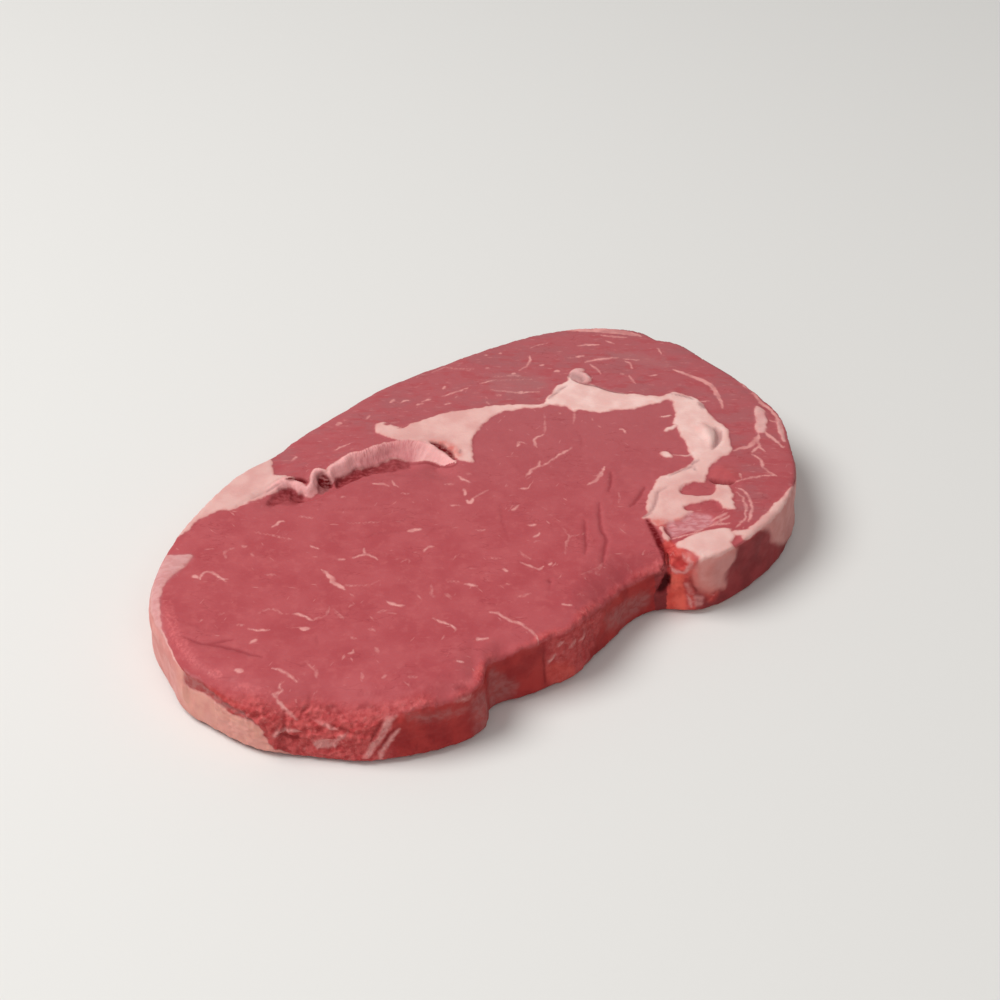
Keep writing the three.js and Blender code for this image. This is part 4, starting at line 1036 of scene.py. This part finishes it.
# Painted highlight along the rims.
rim_highlight_mask = work_out("MULTIPLY", read("rim_highlight"), ease(mottle(0.9, 4, shift=4.4), 0.4, 0.65, 0.15, 0.65))
lean = blend(rim_highlight_mask, lean, RIM_HIGHLIGHT)
pale_mask = work_out("MULTIPLY", read("pale"), ease(mottle(1.3, 4, shift=0.6), 0.35, 0.55, 0.55, 0.95))
lean = blend(pale_mask, lean, PALE)
colour = blend(work_out("MAXIMUM", fleck_mask, faint_mask), lean, FLECK)
# The orange tissue of the lobe and the near side, painted brighter than the tissue to stand in for light from
# the near left.
orange = blend(ease(mottle(4, 3, shift=0.6), 0.35, 0.6), ORANGE_LIT_DEEP, ORANGE_LIT)
orange_mask = work_out("MULTIPLY", read("orange"), work_out("SUBTRACT", 1.0, read("pale")))
colour = blend(orange_mask, colour, orange)

white = blend(ease(mottle(6, 4), 0.35, 0.65), FAT_DULL, FAT)
white = blend(read("clean"), white, blend(ease(mottle(5, 3), 0.35, 0.7), FAT, FAT_CLEAN))
side_white = blend(ease(mottle(5, 3, shift=0.5), 0.35, 0.65), SIDE_FAT_PINK, SIDE_FAT)
warm_mask = work_out("MULTIPLY", read("warm"), ease(mottle(4, 3, shift=5.2), 0.35, 0.65, 0.4, 0.9))
side_white = blend(warm_mask, side_white, SIDE_FAT_WARM)
white = blend(beside, white, side_white)
white = blend(ease(fat_depth_here, 0, 0.8, 0.3, 1), FAT_EDGE, white)
facing = read("facing")
pleat_place = add_node("ShaderNodeCombineXYZ")
tree.links.new(work_out("ADD", read("along"), work_out("MULTIPLY", facing, 0.9)), pleat_place.inputs["X"])
tree.links.new(work_out("MULTIPLY", facing, 0.9), pleat_place.inputs["Y"])
pleat_noise = add_node("ShaderNodeTexNoise")
tree.links.new(pleat_place.outputs["Vector"], pleat_noise.inputs["Vector"])
pleat_noise.inputs["Scale"].default_value = 2.2
pleat_noise.inputs["Detail"].default_value = 6
down_face = work_out("ADD", facing, work_out("MULTIPLY", ragged, 0.3))
# The seam's pleated face: a painted highlight along its crest, darker pink as painted shade in the folds and
# at its foot, a painted lighter left stretch against the shade its steep slope gets, darker along the middle,
# and a painted highlight on the tongue.
pleat = blend(ease(down_face, 0.05, 0.7), PLEAT_CREST_HIGHLIGHT, PLEAT_PINK)
pleat = blend(ease(pleat_noise.outputs["Fac"], 0.54, 0.38, 0, 0.75), pleat, PLEAT_FOLD)
pleat = blend(ease(facing, 0.75, 1.0, 0, 0.4), pleat, PLEAT_FOLD)
pleat = blend(ease(read("along"), 46, 34, 0, 0.75), pleat, PLEAT_LEFT_LIT)
middle = work_out("MULTIPLY", ease(read("along"), 45, 51), ease(read("along"), 63, 58, 0, 0.35))
pleat = blend(middle, pleat, PLEAT_FOLD)
pleat = blend(ease(read("along"), 59, 65, 0, 0.85), pleat, TONGUE_HIGHLIGHT)
white = blend(work_out("MULTIPLY", read("pleated"), 0.9), white, pleat)
colour = blend(fat_mask, colour, white)
blush_mask = work_out("MULTIPLY", read("blush"), ease(mottle(2, 4, shift=1.4), 0.3, 0.65, 0.35, 0.9))
colour = blend(blush_mask, colour, BLUSH)
# On the sides the film takes a darker copy of its colour: painted shade.
film_colour = blend(beside, FILM, FILM_SHADED_BESIDE)
film_colour = blend(ease(mottle(1.25, 4, 2, 2.1), 0.4, 0.6, 0, 0.5), film_colour, lean)
colour = blend(work_out("MULTIPLY", read("film"), 0.85), colour, film_colour)
# Grey tone, partly painted shade.
colour = blend(work_out("MULTIPLY", read("grey_and_shade"), 0.8), colour, GREY_AND_SHADE)
# Painted shade in the recesses.
crevice_shade_mask = work_out("MULTIPLY", read("crevice_shade"), ease(mottle(0.7, 4, 1.8, 0.8), 0.3, 0.55, 0.7, 1.0))
# Dark crumbly red under the seam's overhanging fat and in the pit beside it: painted shadow, broken into
# crumbs.
crumb_shade_mask = work_out("MULTIPLY", read("crumbly_shade"), ease(mottle(1.1, 5, 1.5, 3.1), 0.4, 0.58, 0.6, 1.0))
colour = blend(crumb_shade_mask, colour, CRUMB_SHADE)
colour = blend(crevice_shade_mask, colour, CREVICE_SHADE)
# Painted shade in the gap.
colour = blend(read("gap_shade"), colour, GAP_SHADE)
tree.links.new(colour, skin.inputs["Base Color"])
tree.links.new(ease(mottle(3, 3, shift=1.1), 0.3, 0.7, 0.42, 0.58), skin.inputs["Roughness"])
skin.inputs["Specular IOR Level"].default_value = 0.09
skin.inputs["Subsurface Weight"].default_value = 0.08
skin.inputs["Subsurface Radius"].default_value = (1.0, 0.3, 0.2)
skin.inputs["Subsurface Scale"].default_value = 1.5 * MM
bump = add_node("ShaderNodeBump")
bump.inputs["Strength"].default_value = 0.3
bump.inputs["Distance"].default_value = 0.3 * MM
tree.links.new(mottle(0.7, 5, 1.8), bump.inputs["Height"])
torn_bump = add_node("ShaderNodeBump")
torn_bump.inputs["Strength"].default_value = 0.5
torn_bump.inputs["Distance"].default_value = 0.8 * MM
tree.links.new(work_out("MULTIPLY", specks, read("raw")), torn_bump.inputs["Height"])
tree.links.new(bump.outputs["Normal"], torn_bump.inputs["Normal"])
tree.links.new(torn_bump.outputs["Normal"], skin.inputs["Normal"])

steak.data.materials.clear()
steak.data.materials.append(flesh)
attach(steak, "root")
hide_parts(STEAK_NODE)

# The floor
# A plain pale surface under the steak, wide enough to fill every view.
bpy.ops.object.select_all(action="DESELECT")
bpy.ops.mesh.primitive_plane_add(size=6)
floor = bpy.context.object
floor.name = "floor"
pale_floor = bpy.data.materials.new("pale_floor")
pale_floor.use_nodes = True
pale_floor.node_tree.nodes["Principled BSDF"].inputs["Base Color"].default_value = paint(226, 224, 220)
pale_floor.node_tree.nodes["Principled BSDF"].inputs["Roughness"].default_value = 0.8
floor.data.materials.append(pale_floor)

# The light
# A large soft lamp over the far left, weak ones from the near right and the left, and an even pale surround.
surround = bpy.data.worlds.new("surround")
surround.use_nodes = True
surround.node_tree.nodes["Background"].inputs["Color"].default_value = (1, 1, 1, 1)
surround.node_tree.nodes["Background"].inputs["Strength"].default_value = 0.3
bpy.context.scene.world = surround


def soft_lamp(name, place, size, power):
    lamp = bpy.data.lights.new(name, "AREA")
    lamp.shape = "DISK"
    lamp.size = size
    lamp.energy = power
    holder = bpy.data.objects.new(name, lamp)
    holder.location = place
    holder.rotation_euler = (-Vector(place)).to_track_quat("-Z", "Y").to_euler()
    bpy.context.scene.collection.objects.link(holder)


soft_lamp("key", (-0.6, 0.5, 1.2), 0.9, 17)
soft_lamp("fill", (-0.3, -1.0, 1.2), 0.8, 3)
soft_lamp("left_fill", (-1.1, -0.5, 0.4), 0.6, 1)

# The camera
# It looks down on the steak from the near left, as in the photograph.
AZIMUTH = math.radians(-40)
ELEVATION = math.radians(38)
VIEW_ANGLE = math.radians(28.8)
CAMERA_PLACE = Vector((-266.236, -327.818, 348.170))
camera = bpy.data.objects.new("camera", bpy.data.cameras.new("camera"))
camera.data.sensor_width = 36
camera.data.angle = VIEW_ANGLE
camera.location = CAMERA_PLACE * MM
camera.rotation_euler = (math.pi / 2 - ELEVATION, 0, AZIMUTH)
camera.data.clip_start = 0.01
bpy.context.scene.collection.objects.link(camera)
bpy.context.scene.camera = camera
bpy.context.scene.view_settings.view_transform = "Standard"
